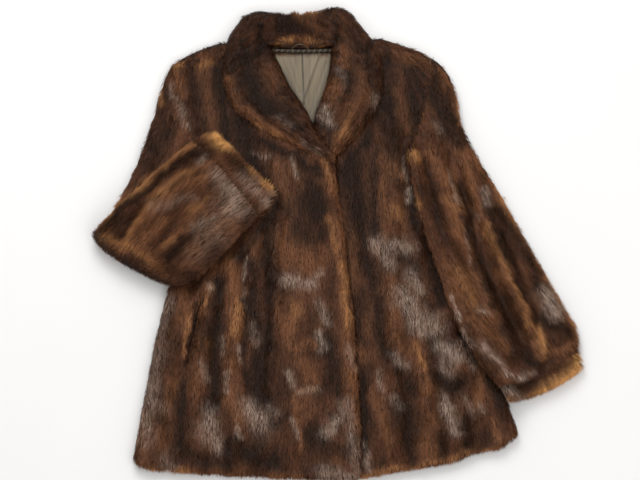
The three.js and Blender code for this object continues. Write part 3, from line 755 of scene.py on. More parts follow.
@dataclass
class FurPanel:
    """One fur piece of the coat: its pelt below, and the pile that grows on it.

    A slope is the upward part of a direction that is one long. The swell moves the pelt's free
    rims outwards.
    """

    node: str
    slot: str
    naps: list[Nap]
    streaks: list[Streak]
    creases: list[Crease]
    flat: Pair
    area: float
    held: str
    rests_on: list[str]
    pile: Pile = field(default_factory=Pile)
    upper_naps: list[Nap] = field(default_factory=list)
    upper_from: float = 1.0
    swell: float = 0.0
    longest_edge: float = 0.013
    split_passes: int = 5
    smooth_passes: int = 3
    upper_slope: float = 0.5
    upper_face_slope: float = 0.3
    lowest_open_slope: float = -0.25
    crease_slope: float = 0.4
    meeting_slope: float = 0.15

    def build(self, finish: bpy.types.Material, pelt: bpy.types.Material, number: int) -> int:
        """Makes the pelt and its pile, and parents both to the coat's body.

        Args:
            finish: the pile's material.
            pelt: the material below the pile.
            number: the panel's own number, which seeds its hairs.

        Returns:
            How many triangles the panel has.
        """
        generator = np.random.default_rng(SEED + number)
        skin, open_faces = self.skin()
        skin.data.materials.append(pelt)
        strands = self.rooted(skin, open_faces, generator)
        pieces = self.hairs(strands, finish, generator)
        for piece in (skin, *pieces):
            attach(piece, BODY)
        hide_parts(self.node)
        total = len(skin.data.polygons) + len(strands) * 3
        surface = sum(face.area for face in skin.data.polygons)
        LOG.info("%s: %d triangles, %d hairs, half surface %.4f m2", self.node, total,
                 len(strands), surface / 2)
        return total

    def flow_at(self, places: np.ndarray, heights: np.ndarray) -> np.ndarray:
        """The nap's direction over the surface.

        Args:
            places: points in metres.
            heights: the same points' heights in metres.

        Returns:
            One flat direction for each point.
        """
        spots = PLAN.read(places)
        lower = self.mixed_naps(spots, self.naps)
        if not self.upper_naps:
            return lower
        upper = self.mixed_naps(spots, self.upper_naps)
        return np.where((heights > self.upper_from)[:, None], upper, lower)

    @staticmethod
    def mixed_naps(spots: np.ndarray, naps: list[Nap]) -> np.ndarray:
        """Blends the strokes' directions, each weighing more the nearer it is.

        Args:
            spots: plan points.
            naps: the strokes.

        Returns:
            One flat direction for each point.
        """
        total = np.zeros((len(spots), 3))
        for nap in naps:
            weight = 1.0 / (distance_to(spots, nap.start, nap.end) ** 2 + NAP_SOFTNESS)
            step = np.array([nap.end[0] - nap.start[0], nap.start[1] - nap.end[1], 0.0])
            total += weight[:, None] * step / np.linalg.norm(step)
        return unit(total)

    def skin(self) -> tuple[bpy.types.Object, np.ndarray]:
        """Makes the pelt from a copy of the solid, sunk below the pile.

        Returns:
            The pelt, and which of its faces grow hair that shows.
        """
        shape = copied_solid(self.node)
        bmesh.ops.triangulate(shape, faces=shape.faces)
        split_long_edges(shape, self.longest_edge, self.split_passes)
        upper = [vertex for vertex in shape.verts if vertex.normal.z > self.upper_slope
                 and all(face.normal.z > self.upper_face_slope for face in vertex.link_faces)]
        for _ in range(self.smooth_passes):
            bmesh.ops.smooth_vert(shape, verts=upper, factor=0.5, use_axis_x=False,
                                  use_axis_y=False, use_axis_z=True)
        shape.normal_update()
        mesh = finished_mesh(shape, f"{self.node}_pelt")
        skin = stand(f"{self.node}_pelt", mesh)
        points, triangles, normals = mesh_arrays(mesh)
        open_faces = self.open_faces(points, triangles)
        points, nearness = self.sunk(points, normals)
        mesh.vertices.foreach_set("co", points.astype(np.float32).ravel())
        add_values(mesh, "seam", "FLOAT", "value", nearness)
        shade_smooth(mesh)
        mesh.update()
        return skin, open_faces

    def open_faces(self, points: np.ndarray, triangles: np.ndarray) -> np.ndarray:
        """Finds the faces that look upwards or sideways with nothing lying on them.

        Args:
            points: the skin's corners.
            triangles: its faces.

        Returns:
            True for each open face.
        """
        everything = Solids([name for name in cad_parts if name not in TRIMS])
        centres = points[triangles].mean(axis=1)
        a, b, c = points[triangles[:, 0]], points[triangles[:, 1]], points[triangles[:, 2]]
        facing = unit(np.cross(b - a, c - a))
        flow = self.flow_at(centres, centres[:, 2])
        result = np.zeros(len(triangles), dtype=bool)
        for i in np.flatnonzero(facing[:, 2] > self.lowest_open_slope):
            start, way = Vector(centres[i] + facing[i] * OFF_FACE), Vector(facing[i])
            if abs(facing[i, 2]) < WALL_SLOPE and everything.reach(start, way, WALL_GAP) < WALL_GAP:
                continue
            hidden = everything.covers(start, self.node)
            hidden = hidden and everything.covers(start + Vector(flow[i] * HAIR_COVER), self.node)
            result[i] = not hidden
        return result

    def sunk(self, points: np.ndarray, normals: np.ndarray) -> tuple[np.ndarray, np.ndarray]:
        """Creases the surface and takes it in by the pile's depth, but not where it rests.

        Args:
            points: the skin's corners.
            normals: the direction that each corner faces.

        Returns:
            The moved corners, and how near each one is to a seam, from 0 to 1.
        """
        names = [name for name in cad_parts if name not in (self.node, *TRIMS)]
        others = Solids(names)
        neighbours = Solids([name for name in names if name != "back"])
        own = Solids([self.node])
        spots = PLAN.read(points)
        flow = self.flow_at(points, points[:, 2])
        moved = points.copy()
        nearness = np.zeros(len(points))
        for crease in self.creases:
            near = distance_to(spots, crease.start, crease.end)
            lift = crease.height * np.exp(-(near / crease.width) ** 2)
            moved[:, 2] += np.where(normals[:, 2] > self.crease_slope, lift, 0.0)
        for i, (point, normal) in enumerate(zip(points, normals)):
            start, facing = Vector(point), Vector(normal)
            if own.reach(start + facing * CLEAR, facing, FOLD_GAP) < FOLD_GAP:
                continue
            level = Vector((normal[0], normal[1], 0.0))
            room = SEAM_REACH
            if level.length > SIDEWAYS:
                room = others.reach(start + level * OFF_WALL, level, SEAM_REACH)
            free = min(max((room - SEAM_CLEAR) / (SEAM_REACH - SEAM_CLEAR), 0.0), 1.0)
            lean = float(normal @ flow[i])
            outward = PILE_DEPTH * (RIM_INSET + (RIM_WITH_NAP if lean > 0 else RIM_AGAINST_NAP) * lean)
            outward = (outward - self.swell) * free
            beside, _, _, gap = neighbours.tree.find_nearest(start, SEAM_REACH)
            if beside is not None and abs(beside.z - start.z) < SEAM_LEVEL:
                outward *= gap / SEAM_REACH
            if normal[2] > self.meeting_slope and level.length > SEAM_SIDEWAYS:
                nearness[i], meeting = self.meeting(own, others, start, level.normalized())
                moved[i, 2] += (meeting - point[2]) * nearness[i]
                free = max(free, nearness[i])
            moved[i, :2] -= normal[:2] * outward * (1.0 - nearness[i])
            depth = DEPTH_AT_SEAM + (1.0 - DEPTH_AT_SEAM) * free
            moved[i, 2] -= max(float(normal[2]), nearness[i], 0.0) * PILE_DEPTH * depth
        moved[:, 2] = np.maximum(moved[:, 2], 0.0)
        return moved, nearness

    @staticmethod
    def meeting(own: Solids, others: Solids, place: Vector, way: Vector) -> tuple[float, float]:
        """Looks for a seam beyond a point, where this piece ends and another goes on.

        Args:
            own: this piece's solid.
            others: the solids round it.
            place: the point.
            way: the level direction that the point faces.

        Returns:
            How near the seam is, from 0 to 1, and the height that both pieces meet at.
        """
        if others.reach(place + UP * SEAM_LIFT, UP, HIGH) < HIGH:
            return 0.0, 0.0
        for step in SEAM_STEPS:
            if own.top(place + way * step) is not None:
                continue
            inside = own.top(place - way * SEAM_REACH)
            beyond = others.top(place + way * (step + SEAM_REACH))
            if inside is None or beyond is None or beyond < inside - SEAM_STEP_DOWN:
                return 0.0, 0.0
            return 1.0 - step / SEAM_STEPS[-1], (inside + min(beyond, inside + SEAM_STEP_DOWN)) / 2
        return 0.0, 0.0

    def rooted(self, skin: bpy.types.Object, open_faces: np.ndarray,
               generator: np.random.Generator) -> Strands:
        """Spreads the hairs' roots over the faces that show.

        Args:
            skin: the pelt.
            open_faces: which of its faces show.
            generator: the panel's random numbers.

        Returns:
            The hairs' roots, and the directions that they stand and flow in.
        """
        points, triangles, normals = mesh_arrays(skin.data)
        triangles = triangles[open_faces]
        a, b, c = points[triangles[:, 0]], points[triangles[:, 1]], points[triangles[:, 2]]
        areas = np.linalg.norm(np.cross(b - a, c - a), axis=1) / 2
        count = int(areas.sum() * self.pile.per_square_metre)
        chosen = generator.choice(len(triangles), size=count, p=areas / areas.sum())
        first = np.sqrt(generator.random(count))
        second = generator.random(count)
        weights = np.stack([1 - first, first * (1 - second), first * second], axis=1)
        corners = triangles[chosen]
        roots = (points[corners] * weights[:, :, None]).sum(axis=1)
        facing = unit((normals[corners] * weights[:, :, None]).sum(axis=1))
        seam = np.empty(len(points), dtype=np.float32)
        skin.data.attributes["seam"].data.foreach_get("value", seam)
        calm = (seam[corners] * weights).sum(axis=1)[:, None]
        facing = unit(facing * (1.0 - calm) + np.array(UP) * calm)
        return Strands(roots, facing, self.flow_at(roots, roots[:, 2]))

    def tints_and_painted_light(self, strands: Strands, generator: np.random.Generator) -> np.ndarray:
        """Works out how much of each tone each hair has, painted sheen, highlight and shade among them.

        Args:
            strands: the hairs.
            generator: the panel's random numbers.

        Returns:
            Four shares for each hair, in the tones' order.
        """
        spots = PLAN.read(strands.roots)
        aside = (soft_noise(spots / DRIFT_CELLS[0], 3) - 0.5) * DRIFT[0]
        down = (soft_noise(spots / DRIFT_CELLS[1], 5) - 0.5) * DRIFT[1]
        spots = spots + np.stack([aside, down], axis=1)
        left = np.ones((len(strands), len(Tone)))
        for streak in self.streaks:
            near = distance_to(spots, streak.start, streak.end)
            left[:, streak.tone.value] *= 1.0 - np.clip(
                streak.strength * np.exp(-(near / streak.width) ** 2), 0.0, 1.0)
        ragged = RAGGED[0] + RAGGED[1] * generator.random((len(strands), len(Tone)))
        return np.clip((1.0 - left) * ragged, 0.0, 1.0)

    def hairs(self, strands: Strands, finish: bpy.types.Material,
              generator: np.random.Generator) -> list[bpy.types.Object]:
        """Grows the pile as joined meshes of tapering ribbons.

        Args:
            strands: the hairs' roots and directions.
            finish: the pile's material.
            generator: the panel's random numbers.

        Returns:
            The pieces of the pile.
        """
        pile, count = self.pile, len(strands)
        spots = PLAN.read(strands.roots)
        broad, fine = (soft_noise(spots / cell, 11 + i) - 0.5 for i, cell in enumerate(WANDER_CELLS))
        turn = np.radians(broad * 2 * pile.wander + fine * pile.wander * FINE_WANDER
                          + generator.normal(0.0, pile.scatter, count))
        flow = strands.flow
        flow = np.stack([flow[:, 0] * np.cos(turn) - flow[:, 1] * np.sin(turn),
                         flow[:, 0] * np.sin(turn) + flow[:, 1] * np.cos(turn),
                         np.zeros(count)], axis=1)
        normals = strands.normals
        against = (normals * flow).sum(axis=1)
        tangent = flow - normals * against[:, None] * pile.flatness
        length = pile.length * generator.uniform(*pile.lengths, count) * (
            1.0 - pile.shorter_against_nap * np.clip(-against, 0, 1)
            - pile.shorter_with_nap * np.clip(against, 0, 1))
        first_lean = np.radians(pile.root_lean + generator.normal(0.0, pile.lean_spread, count))
        second_lean = np.radians(pile.tip_lean + generator.normal(0.0, pile.lean_spread, count))
        first = unit(tangent * np.cos(first_lean)[:, None] + normals * np.sin(first_lean)[:, None])
        second = unit(tangent * np.cos(second_lean)[:, None] + normals * np.sin(second_lean)[:, None]
                      - np.array([0.0, 0.0, pile.droop]))
        side = unit(np.cross(normals, first))
        above = np.cross(first, side)
        roll = np.radians(generator.uniform(-pile.roll, pile.roll, count))
        half = (side * np.cos(roll)[:, None] + above * np.sin(roll)[:, None]) * (
            pile.width / 2 * generator.uniform(*pile.widths, count))[:, None]
        root = strands.roots - normals * pile.root_depth
        middle = root + first * (length * pile.bend_at)[:, None]
        tip = middle + second * (length * (1.0 - pile.bend_at))[:, None]
        thin = half * pile.taper
        points = np.stack([root + half, root - half, middle + thin, middle - thin, tip], axis=1)
        points[:, :, 2] = np.maximum(points[:, :, 2], pile.lowest)
        ribbon = unit(np.cross(half, first))
        ribbon *= np.sign((ribbon * normals).sum(axis=1) + 1e-6)[:, None]
        shading = unit(normals * pile.shade_of_skin + ribbon * pile.shade_of_hair
                       + generator.normal(0.0, pile.shade_spread, (count, 3)))
        (x, y), (along_x, along_y) = strands.roots[:, :2].T, strands.flow[:, :2].T
        nap = np.stack([x * -along_y + y * along_x, x * along_x + y * along_y, np.zeros(count)], axis=1)
        tints_and_painted_light = self.tints_and_painted_light(strands, generator)
        chance = generator.random(count)
        order = np.argsort(strands.roots[:, 1], kind="stable")
        pieces = []
        parts = max(1, math.ceil(count / MOST_STRANDS))
        for index, rows in enumerate(np.array_split(order, parts)):
            label = f"{self.node}_pile" if parts == 1 else f"{self.node}_pile_{index + 1}"
            pieces.append(self.ribbons(label, points[rows], shading[rows], nap[rows], tints_and_painted_light[rows],
                                       chance[rows], finish))
        return pieces

    @staticmethod
    def ribbons(label: str, points: np.ndarray, shading: np.ndarray, nap: np.ndarray,
                tints_and_painted_light: np.ndarray, chance: np.ndarray, finish: bpy.types.Material) -> bpy.types.Object:
        """Joins hairs into one mesh, each a bent ribbon that ends in a point.

        Args:
            label: the piece's name.
            points: five corners for each hair.
            shading: the direction that each hair shades with.
            nap: each hair's place across and along the nap.
            tints_and_painted_light: each hair's four tones.
            chance: one random number for each hair.
            finish: the pile's material.

        Returns:
            The new piece.
        """
        count = len(points)
        start = (np.arange(count) * STRAND_POINTS)[:, None]
        corners = np.concatenate([start + np.array([[0, 1, 3, 2]]), start + np.array([[2, 3, 4]])], axis=1)
        a, b, c = points[:, 0], points[:, 1], points[:, 3]
        turned = (np.cross(b - a, c - a) * shading).sum(axis=1) < 0
        corners[turned] = np.concatenate(
            [start[turned] + np.array([[1, 0, 2, 3]]), start[turned] + np.array([[3, 2, 4]])], axis=1)
        mesh = bpy.data.meshes.new(label)
        mesh.vertices.add(count * STRAND_POINTS)
        mesh.vertices.foreach_set("co", points.astype(np.float32).ravel())
        mesh.loops.add(count * STRAND_CORNERS)
        mesh.loops.foreach_set("vertex_index", corners.astype(np.int32).ravel())
        mesh.polygons.add(count * STRAND_FACES)
        starts = (np.arange(count) * STRAND_CORNERS)[:, None] + np.array([[0, 4]])
        mesh.polygons.foreach_set("loop_start", starts.astype(np.int32).ravel())
        mesh.update(calc_edges=True)
        mesh.validate()
        along = np.tile(np.array(STRAND_PLACES), count)
        hair = np.stack([np.repeat(chance, STRAND_POINTS), along, np.zeros(count * STRAND_POINTS)], axis=1)
        for name, kind, values, field_name in (
            ("nap", "FLOAT_VECTOR", np.repeat(nap, STRAND_POINTS, axis=0), "vector"),
            ("hair", "FLOAT_VECTOR", hair, "vector"),
            # Each hair's tones, painted sheen, highlight and shade among them.
            ("tint_and_painted_light", "FLOAT_COLOR", np.repeat(tints_and_painted_light, STRAND_POINTS, axis=0), "color"),
        ):
            add_values(mesh, name, kind, field_name, values)
        cells = math.ceil(math.sqrt(count))
        row, column = np.divmod(np.arange(count), cells)
        at = (np.stack([column, row], axis=1)[:, None, :] + np.array(STRAND_FLAT)) / cells
        flat_at = at.reshape(-1, 2)[corners.ravel()]
        layer = mesh.uv_layers.new(name="OFBake")
        layer.uv.foreach_set("vector", flat_at.astype(np.float32).ravel())
        shade_smooth(mesh)
        mesh.normals_split_custom_set_from_vertices(np.repeat(shading, STRAND_POINTS, axis=0).tolist())
        mesh.materials.append(finish)
        return stand(label, mesh)


@dataclass
class NeckLining:
    """The satin that shows in the neck: a thin cloth with a seam and soft creases.

    A shade darkens the satin along a line: the seam's own dark line, or painted shade in a crease, along the
    collar's edges or under the braid. It has its start, end and width in plan points, and its strength.
    """

    node: str = "lining"
    flat: Pair = (0.121, 0.135)
    area: float = 0.0105
    longest_edge: float = 0.0024
    split_passes: int = 6
    crease_slope: float = 0.4
    seam_and_painted_shade: tuple[tuple[Spot, Spot, float, float], ...] = (
        ((302, 50), (304, 104), 0.7, 0.85), ((319, 56), (304, 98), 1.0, 0.50),
        ((270, 50), (312, 124), 3.0, 0.45), ((334, 50), (313, 124), 3.0, 0.45),
        ((268, 52), (334, 50), 2.2, 0.50), ((288, 54), (300, 92), 0.8, 0.22),
        ((281, 54), (296, 92), 0.7, 0.18), ((295, 54), (302, 96), 0.7, 0.18),
        ((310, 54), (308, 104), 0.7, 0.20), ((326, 60), (310, 112), 1.2, 0.30),
    )
    creases: tuple[Crease, ...] = (
        Crease((302, 50), (304, 104), -0.0005, 0.9),
        Crease((318, 50), (303, 102), 0.0007, 2.2),
        Crease((286, 50), (301, 100), 0.0004, 3.0),
        Crease((326, 62), (308, 112), -0.0005, 2.0),
        Crease((276, 54), (300, 92), -0.0004, 2.4),
    )

    def build(self, finish: bpy.types.Material) -> int:
        """Makes the cloth from a copy of its solid, with its listed creases.

        Args:
            finish: the satin.

        Returns:
            How many triangles it has.
        """
        shape = copied_solid(self.node)
        split_long_edges(shape, self.longest_edge, self.split_passes)
        shape.normal_update()
        for vertex in shape.verts:
            if vertex.normal.z > self.crease_slope:
                spot = PLAN.read(np.array([vertex.co[:]]))
                for crease in self.creases:
                    near = float(distance_to(spot, crease.start, crease.end)[0])
                    vertex.co.z += crease.height * math.exp(-(near / crease.width) ** 2)
        mesh = finished_mesh(shape, "neck_satin")
        spots = PLAN.read(mesh_arrays(mesh)[0])
        left = np.ones(len(spots))
        # The seam's dark line, and painted shade along the creases and under the edges round the satin.
        for start, end, width, strength in self.seam_and_painted_shade:
            left *= 1.0 - strength * np.exp(-(distance_to(spots, start, end) / width) ** 2)
        add_values(mesh, "seam", "FLOAT", "value", 1.0 - left)
        shade_smooth(mesh)
        mesh.materials.append(finish)
        cloth = stand("neck_satin", mesh)
        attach(cloth, BODY)
        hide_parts(self.node)
        LOG.info("neck_satin: %d triangles, half surface %.4f m2", len(mesh.polygons),
                 sum(face.area for face in mesh.polygons) / 2)
        return len(mesh.polygons)


@dataclass
class TwistedCord:
    """A cord of twisted plies along a route through points in metres.

    A ply's radius and its distance from the middle are shares of the cord's radius.
    """

    label: str
    node: str
    slot: str
    route: list[Triple]
    radius: float
    plies: int
    lay: float
    ply_radius: float = 0.52
    ply_middle: float = 0.48
    steps: int = 160
    steps_a_part: int = 24

    def smooth_route(self) -> np.ndarray:
        """Rounds the route into a smooth run of points at even distances.

        Returns:
            The run's points.
        """
        points = np.array([self.route[0], *self.route, self.route[-1]], dtype=float)
        run = []
        for i in range(1, len(points) - 2):
            p0, p1, p2, p3 = points[i - 1 : i + 3]
            for t in np.linspace(0.0, 1.0, self.steps_a_part, endpoint=i == len(points) - 3):
                run.append(0.5 * (2 * p1 + (p2 - p0) * t + (2 * p0 - 5 * p1 + 4 * p2 - p3) * t * t
                                  + (3 * p1 - p0 - 3 * p2 + p3) * t ** 3))
        run = np.array(run)
        far = run_length(run)
        even = np.linspace(0.0, far[-1], self.steps)
        return np.stack([np.interp(even, far, run[:, k]) for k in range(3)], axis=1)

    def build(self, finishes: list[bpy.types.Material]) -> int:
        """Winds the plies round the route.

        Args:
            finishes: one yarn for each ply.

        Returns:
            How many triangles the cord has.
        """
        run = self.smooth_route()
        forward = unit(np.gradient(run, axis=0))
        aside = unit(np.cross(forward, np.array([[0.0, 0.0, 1.0]])))
        above = np.cross(aside, forward)
        far = run_length(run)
        curve = bpy.data.curves.new(self.label, "CURVE")
        curve.dimensions = "3D"
        curve.bevel_depth = self.radius * self.ply_radius
        curve.bevel_resolution = 2
        curve.use_fill_caps = True
        for ply in range(self.plies):
            angle = 2 * math.pi * (far / self.lay + ply / self.plies)
            out = aside * np.cos(angle)[:, None] + above * np.sin(angle)[:, None]
            out = out * self.radius * self.ply_middle
            spline = curve.splines.new("POLY")
            spline.points.add(len(run) - 1)
            flat = np.concatenate([run + out, np.ones((len(run), 1))], axis=1)
            spline.points.foreach_set("co", flat.astype(np.float32).ravel())
            spline.use_smooth = True
            spline.material_index = ply
            curve.materials.append(finishes[ply])
        holder = stand(f"{self.label}_route", curve)
        graph = bpy.context.evaluated_depsgraph_get()
        mesh = bpy.data.meshes.new_from_object(holder.evaluated_get(graph))
        bpy.data.objects.remove(holder)
        mesh.name = self.label
        cord = stand(self.label, mesh)
        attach(cord, BODY)
        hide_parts(self.node)
        LOG.info("%s: %d faces", self.label, len(mesh.polygons))
        return len(mesh.polygons) * 2


@dataclass
class Studio:
    """The pale floor, the soft light and the camera, almost straight above.

    A lamp has its name, place, size and power. The view is as wide as it says at the coat.
    """

    aim: Triple = (-0.03105, 0.0043, 0.020)
    elevation: float = 80.0
    distance: float = 9.0
    wide: float = 1.024
    sensor: float = 36.0
    daylight: Colour = (1.0, 0.985, 0.965)
    daylight_strength: float = 0.62
    lamps: tuple[tuple[str, Triple, float, float], ...] = (
        ("window", (-0.5, 1.7, 1.9), 1.5, 34.0), ("fill", (0.7, -0.9, 2.2), 1.8, 12.0),
    )
    floor_reach: float = 6.0
    floor_tones: tuple[Colour, Colour] = ((0.90, 0.90, 0.90), (0.94, 0.94, 0.94))

    def build(self) -> None:
        """Sets the camera, the world, the lamp and the floor."""
        scene = bpy.context.scene
        data = bpy.data.cameras.new("camera")
        data.sensor_width = self.sensor
        data.lens = self.sensor * self.distance / self.wide
        camera = stand("camera", data)
        slope = math.radians(self.elevation)
        back = Vector((0.0, -math.cos(slope), math.sin(slope)))
        camera.location = Vector(self.aim) + back * self.distance
        camera.rotation_mode = "QUATERNION"
        camera.rotation_quaternion = (-back).to_track_quat("-Z", "Y")
        scene.camera = camera
        scene.view_settings.view_transform = "Standard"
        world = bpy.data.worlds.new("studio")
        world.use_nodes = True
        sky = world.node_tree.nodes["Background"].inputs
        sky[0].default_value = (*self.daylight, 1.0)
        sky[1].default_value = self.daylight_strength
        scene.world = world
        for lamp in self.lamps:
            self.lamp(*lamp)
        floor_mesh = bpy.data.meshes.new("floor")
        plane = bmesh.new()
        bmesh.ops.create_grid(plane, x_segments=1, y_segments=1, size=self.floor_reach)
        plane.to_mesh(floor_mesh)
        plane.free()
        floor = stand("floor", floor_mesh)
        graph = NodeGraph("pale_floor")
        place = graph.add("ShaderNodeTexCoord").outputs["Object"]
        clouds = graph.noise(place, scale=3.0, detail=2.0)
        colour = graph.ramp(clouds, [(0.0, self.floor_tones[0]), (1.0, self.floor_tones[1])])
        floor_mesh.materials.append(graph.finish(colour, 0.8))

    def lamp(self, label: str, place: Triple, size: float, power: float) -> None:
        """Adds a soft square lamp that looks at the coat.

        Args:
            label: its name.
            place: where it stands.
            size: its side.
            power: its power in watts.
        """
        data = bpy.data.lights.new(label, "AREA")
        data.size = size
        data.energy = power
        light = stand(label, data)
        light.location = place
        light.rotation_mode = "QUATERNION"
        light.rotation_quaternion = (Vector(self.aim) - Vector(place)).to_track_quat("-Z", "Y")


def streaks(tone: Tone, *rows: tuple[float, float, float, float, float, float]) -> list[Streak]:
    """Streaks of one tone.

    Args:
        tone: the tone that they share.
        rows: start x, start y, end x, end y, width and strength of each.

    Returns:
        One streak for each row.
    """
    return [Streak(tone, (x0, y0), (x1, y1), width, strength) for x0, y0, x1, y1, width, strength in rows]


def right_front() -> FurPanel:
    """The front that laps over: the wearer's right, from the shoulder to the hem.

    Returns:
        The panel, with its listed streaks.
    """
    return FurPanel(
        node="right_front", slot="body_fur", flat=(0.36, 0.71), area=0.200, held="laid",
        rests_on=["back", "left_front"], swell=-0.0018,
        naps=[Nap((185, 80), (172, 170)), Nap((172, 260), (158, 465)), Nap((230, 110), (216, 470)),
              Nap((280, 160), (272, 475)), Nap((335, 200), (350, 475))],
        # Dark streaks are the pelts' dark stripes and also painted shade in troughs, the pocket's slit and
        # under the collar's and sleeve's edges; rust and ginger streaks are reddish fur and also painted
        # highlight on ridges and the front's rim; silver streaks are painted sheen.
        streaks=streaks(
            Tone.DARK_AND_SHADE,
            (190, 62, 193, 80, 6, 0.7), (220, 66, 226, 134, 7, 0.9), (240, 120, 262, 176, 9, 0.9),
            (305, 168, 318, 210, 8, 0.6), (318, 192, 319, 212, 7, 0.8), (269, 215, 270, 345, 6, 1.0),
            (262, 224, 238, 258, 5, 1.0), (250, 262, 254, 330, 8, 0.7), (219, 280, 216, 330, 6, 1.0),
            (212, 320, 214, 402, 8, 1.0), (197, 298, 187, 364, 1.6, 1.0), (245, 300, 246, 390, 3, 0.8),
            (262, 350, 262, 398, 11, 0.9), (328, 340, 332, 388, 9, 0.8), (244, 448, 272, 460, 11, 1.0),
            (230, 440, 228, 466, 5, 0.9), (188, 450, 208, 460, 10, 0.9), (184, 384, 182, 440, 6, 0.8),
            (310, 432, 342, 448, 11, 0.55), (290, 210, 300, 236, 9, 0.5), (275, 420, 290, 412, 4, 0.6),
            (326, 224, 318, 236, 7, 0.6), (160, 120, 162, 150, 8, 0.6), (205, 130, 207, 150, 6, 0.5),
            (233, 98, 256, 134, 5, 1.0), (256, 134, 296, 156, 5, 1.0), (296, 156, 322, 172, 4, 1.0),
            (246, 158, 276, 194, 5, 1.0), (278, 204, 262, 228, 4, 0.9), (200, 90, 210, 130, 22, 0.40),
            (270, 176, 300, 196, 14, 0.35), (196, 84, 196, 130, 8, 0.5),
        ) + streaks(
            Tone.RUST_AND_HIGHLIGHT,
            (175, 72, 182, 92, 5, 0.7), (202, 66, 212, 130, 7, 0.5), (276, 166, 288, 192, 9, 0.6),
            (292, 160, 300, 182, 6, 0.5), (322, 156, 334, 192, 6, 0.9), (329, 214, 339, 252, 6, 0.9),
            (341, 262, 346, 330, 5, 1.0), (284, 238, 312, 266, 13, 0.55), (230, 262, 236, 312, 6, 1.0),
            (210, 282, 203, 312, 4, 1.0), (184, 292, 182, 316, 7, 0.6), (190, 308, 185, 350, 3.5, 1.0),
            (205, 338, 196, 392, 7, 0.5), (233, 304, 238, 332, 6, 1.0), (232, 338, 230, 398, 7, 0.7),
            (296, 302, 291, 336, 7, 0.8), (290, 345, 314, 342, 4, 0.7), (300, 358, 313, 376, 9, 0.7),
            (174, 378, 166, 412, 6, 0.6), (295, 398, 301, 444, 3, 0.8), (236, 404, 240, 424, 4, 0.7),
            (346, 336, 351, 372, 6, 0.8), (352, 376, 355, 424, 6, 0.7), (335, 458, 340, 462, 7, 0.6),
            (140, 466, 300, 476, 4, 0.7), (160, 430, 165, 446, 8, 0.5), (252, 236, 256, 252, 6, 0.5),
            (280, 300, 286, 330, 6, 0.4), (318, 330, 320, 300, 5, 0.3),
        ) + streaks(
            Tone.GINGER_AND_HIGHLIGHT,
            (170, 66, 182, 63, 4, 0.9), (200, 60, 212, 59, 3.5, 0.6), (161, 84, 163, 98, 3, 0.5),
            (238, 298, 234, 328, 4, 0.5), (343, 262, 347, 326, 3, 0.5), (330, 218, 336, 246, 3, 0.3),
            (190, 312, 186, 344, 2.5, 0.35), (138, 464, 190, 470, 3, 0.5), (294, 302, 297, 314, 4, 0.4),
            (300, 391, 316, 388, 3, 0.3), (324, 158, 330, 172, 3, 0.3), (211, 284, 206, 300, 2.5, 0.3),
        ) + streaks(
            Tone.PAINTED_SHEEN,
            (170, 80, 180, 102, 2.5, 0.53), (180, 102, 188, 130, 3, 0.62), (291, 156, 298, 173, 2.2, 0.70),
            (284, 279, 312, 281, 5.5, 0.84), (315, 275, 322, 272, 3.5, 0.44), (246, 254, 243, 276, 1.8, 0.70),
            (244, 286, 246, 306, 2, 0.35), (211, 281, 211, 286, 3, 0.53), (168, 298, 158, 330, 7, 0.50),
            (318, 298, 327, 320, 4, 0.62), (319, 334, 324, 346, 4.5, 0.84), (156, 340, 146, 440, 8, 0.55),
            (203, 364, 205, 377, 4, 0.44), (223, 338, 226, 352, 3, 0.44), (239, 343, 240, 357, 3, 0.53),
            (226, 370, 228, 387, 3, 0.53), (252, 324, 257, 340, 4, 0.40), (288, 368, 293, 384, 3.5, 0.66),
            (300, 392, 318, 388, 4, 0.44), (294, 414, 297, 434, 2.5, 0.62), (249, 407, 263, 421, 9, 1.0),
            (270, 404, 278, 408, 4, 0.44), (209, 408, 216, 442, 7, 0.66), (202, 424, 204, 436, 7, 0.40),
            (220, 438, 221, 450, 4, 0.53), (238, 424, 239, 434, 2.5, 0.53), (326, 431, 336, 418, 6, 0.79),
            (320, 470, 352, 475, 6, 0.62), (348, 400, 356, 470, 5, 0.44), (340, 404, 344, 412, 4, 0.44),
            (163, 402, 166, 408, 5, 0.35), (348, 344, 353, 370, 3, 0.35), (252, 150, 268, 152, 3, 0.44),
            (165, 456, 172, 462, 6, 0.35),
        ),
        creases=[
            Crease((218, 280), (213, 400), -0.0020, 5.0), Crease((269, 215), (266, 400), -0.0018, 5.0),
            Crease((244, 290), (246, 400), -0.0015, 3.5), Crease((330, 190), (332, 400), -0.0010, 5.0),
            Crease((233, 270), (232, 400), 0.0015, 6.0), Crease((300, 220), (303, 440), 0.0012, 10.0),
        ],
    )


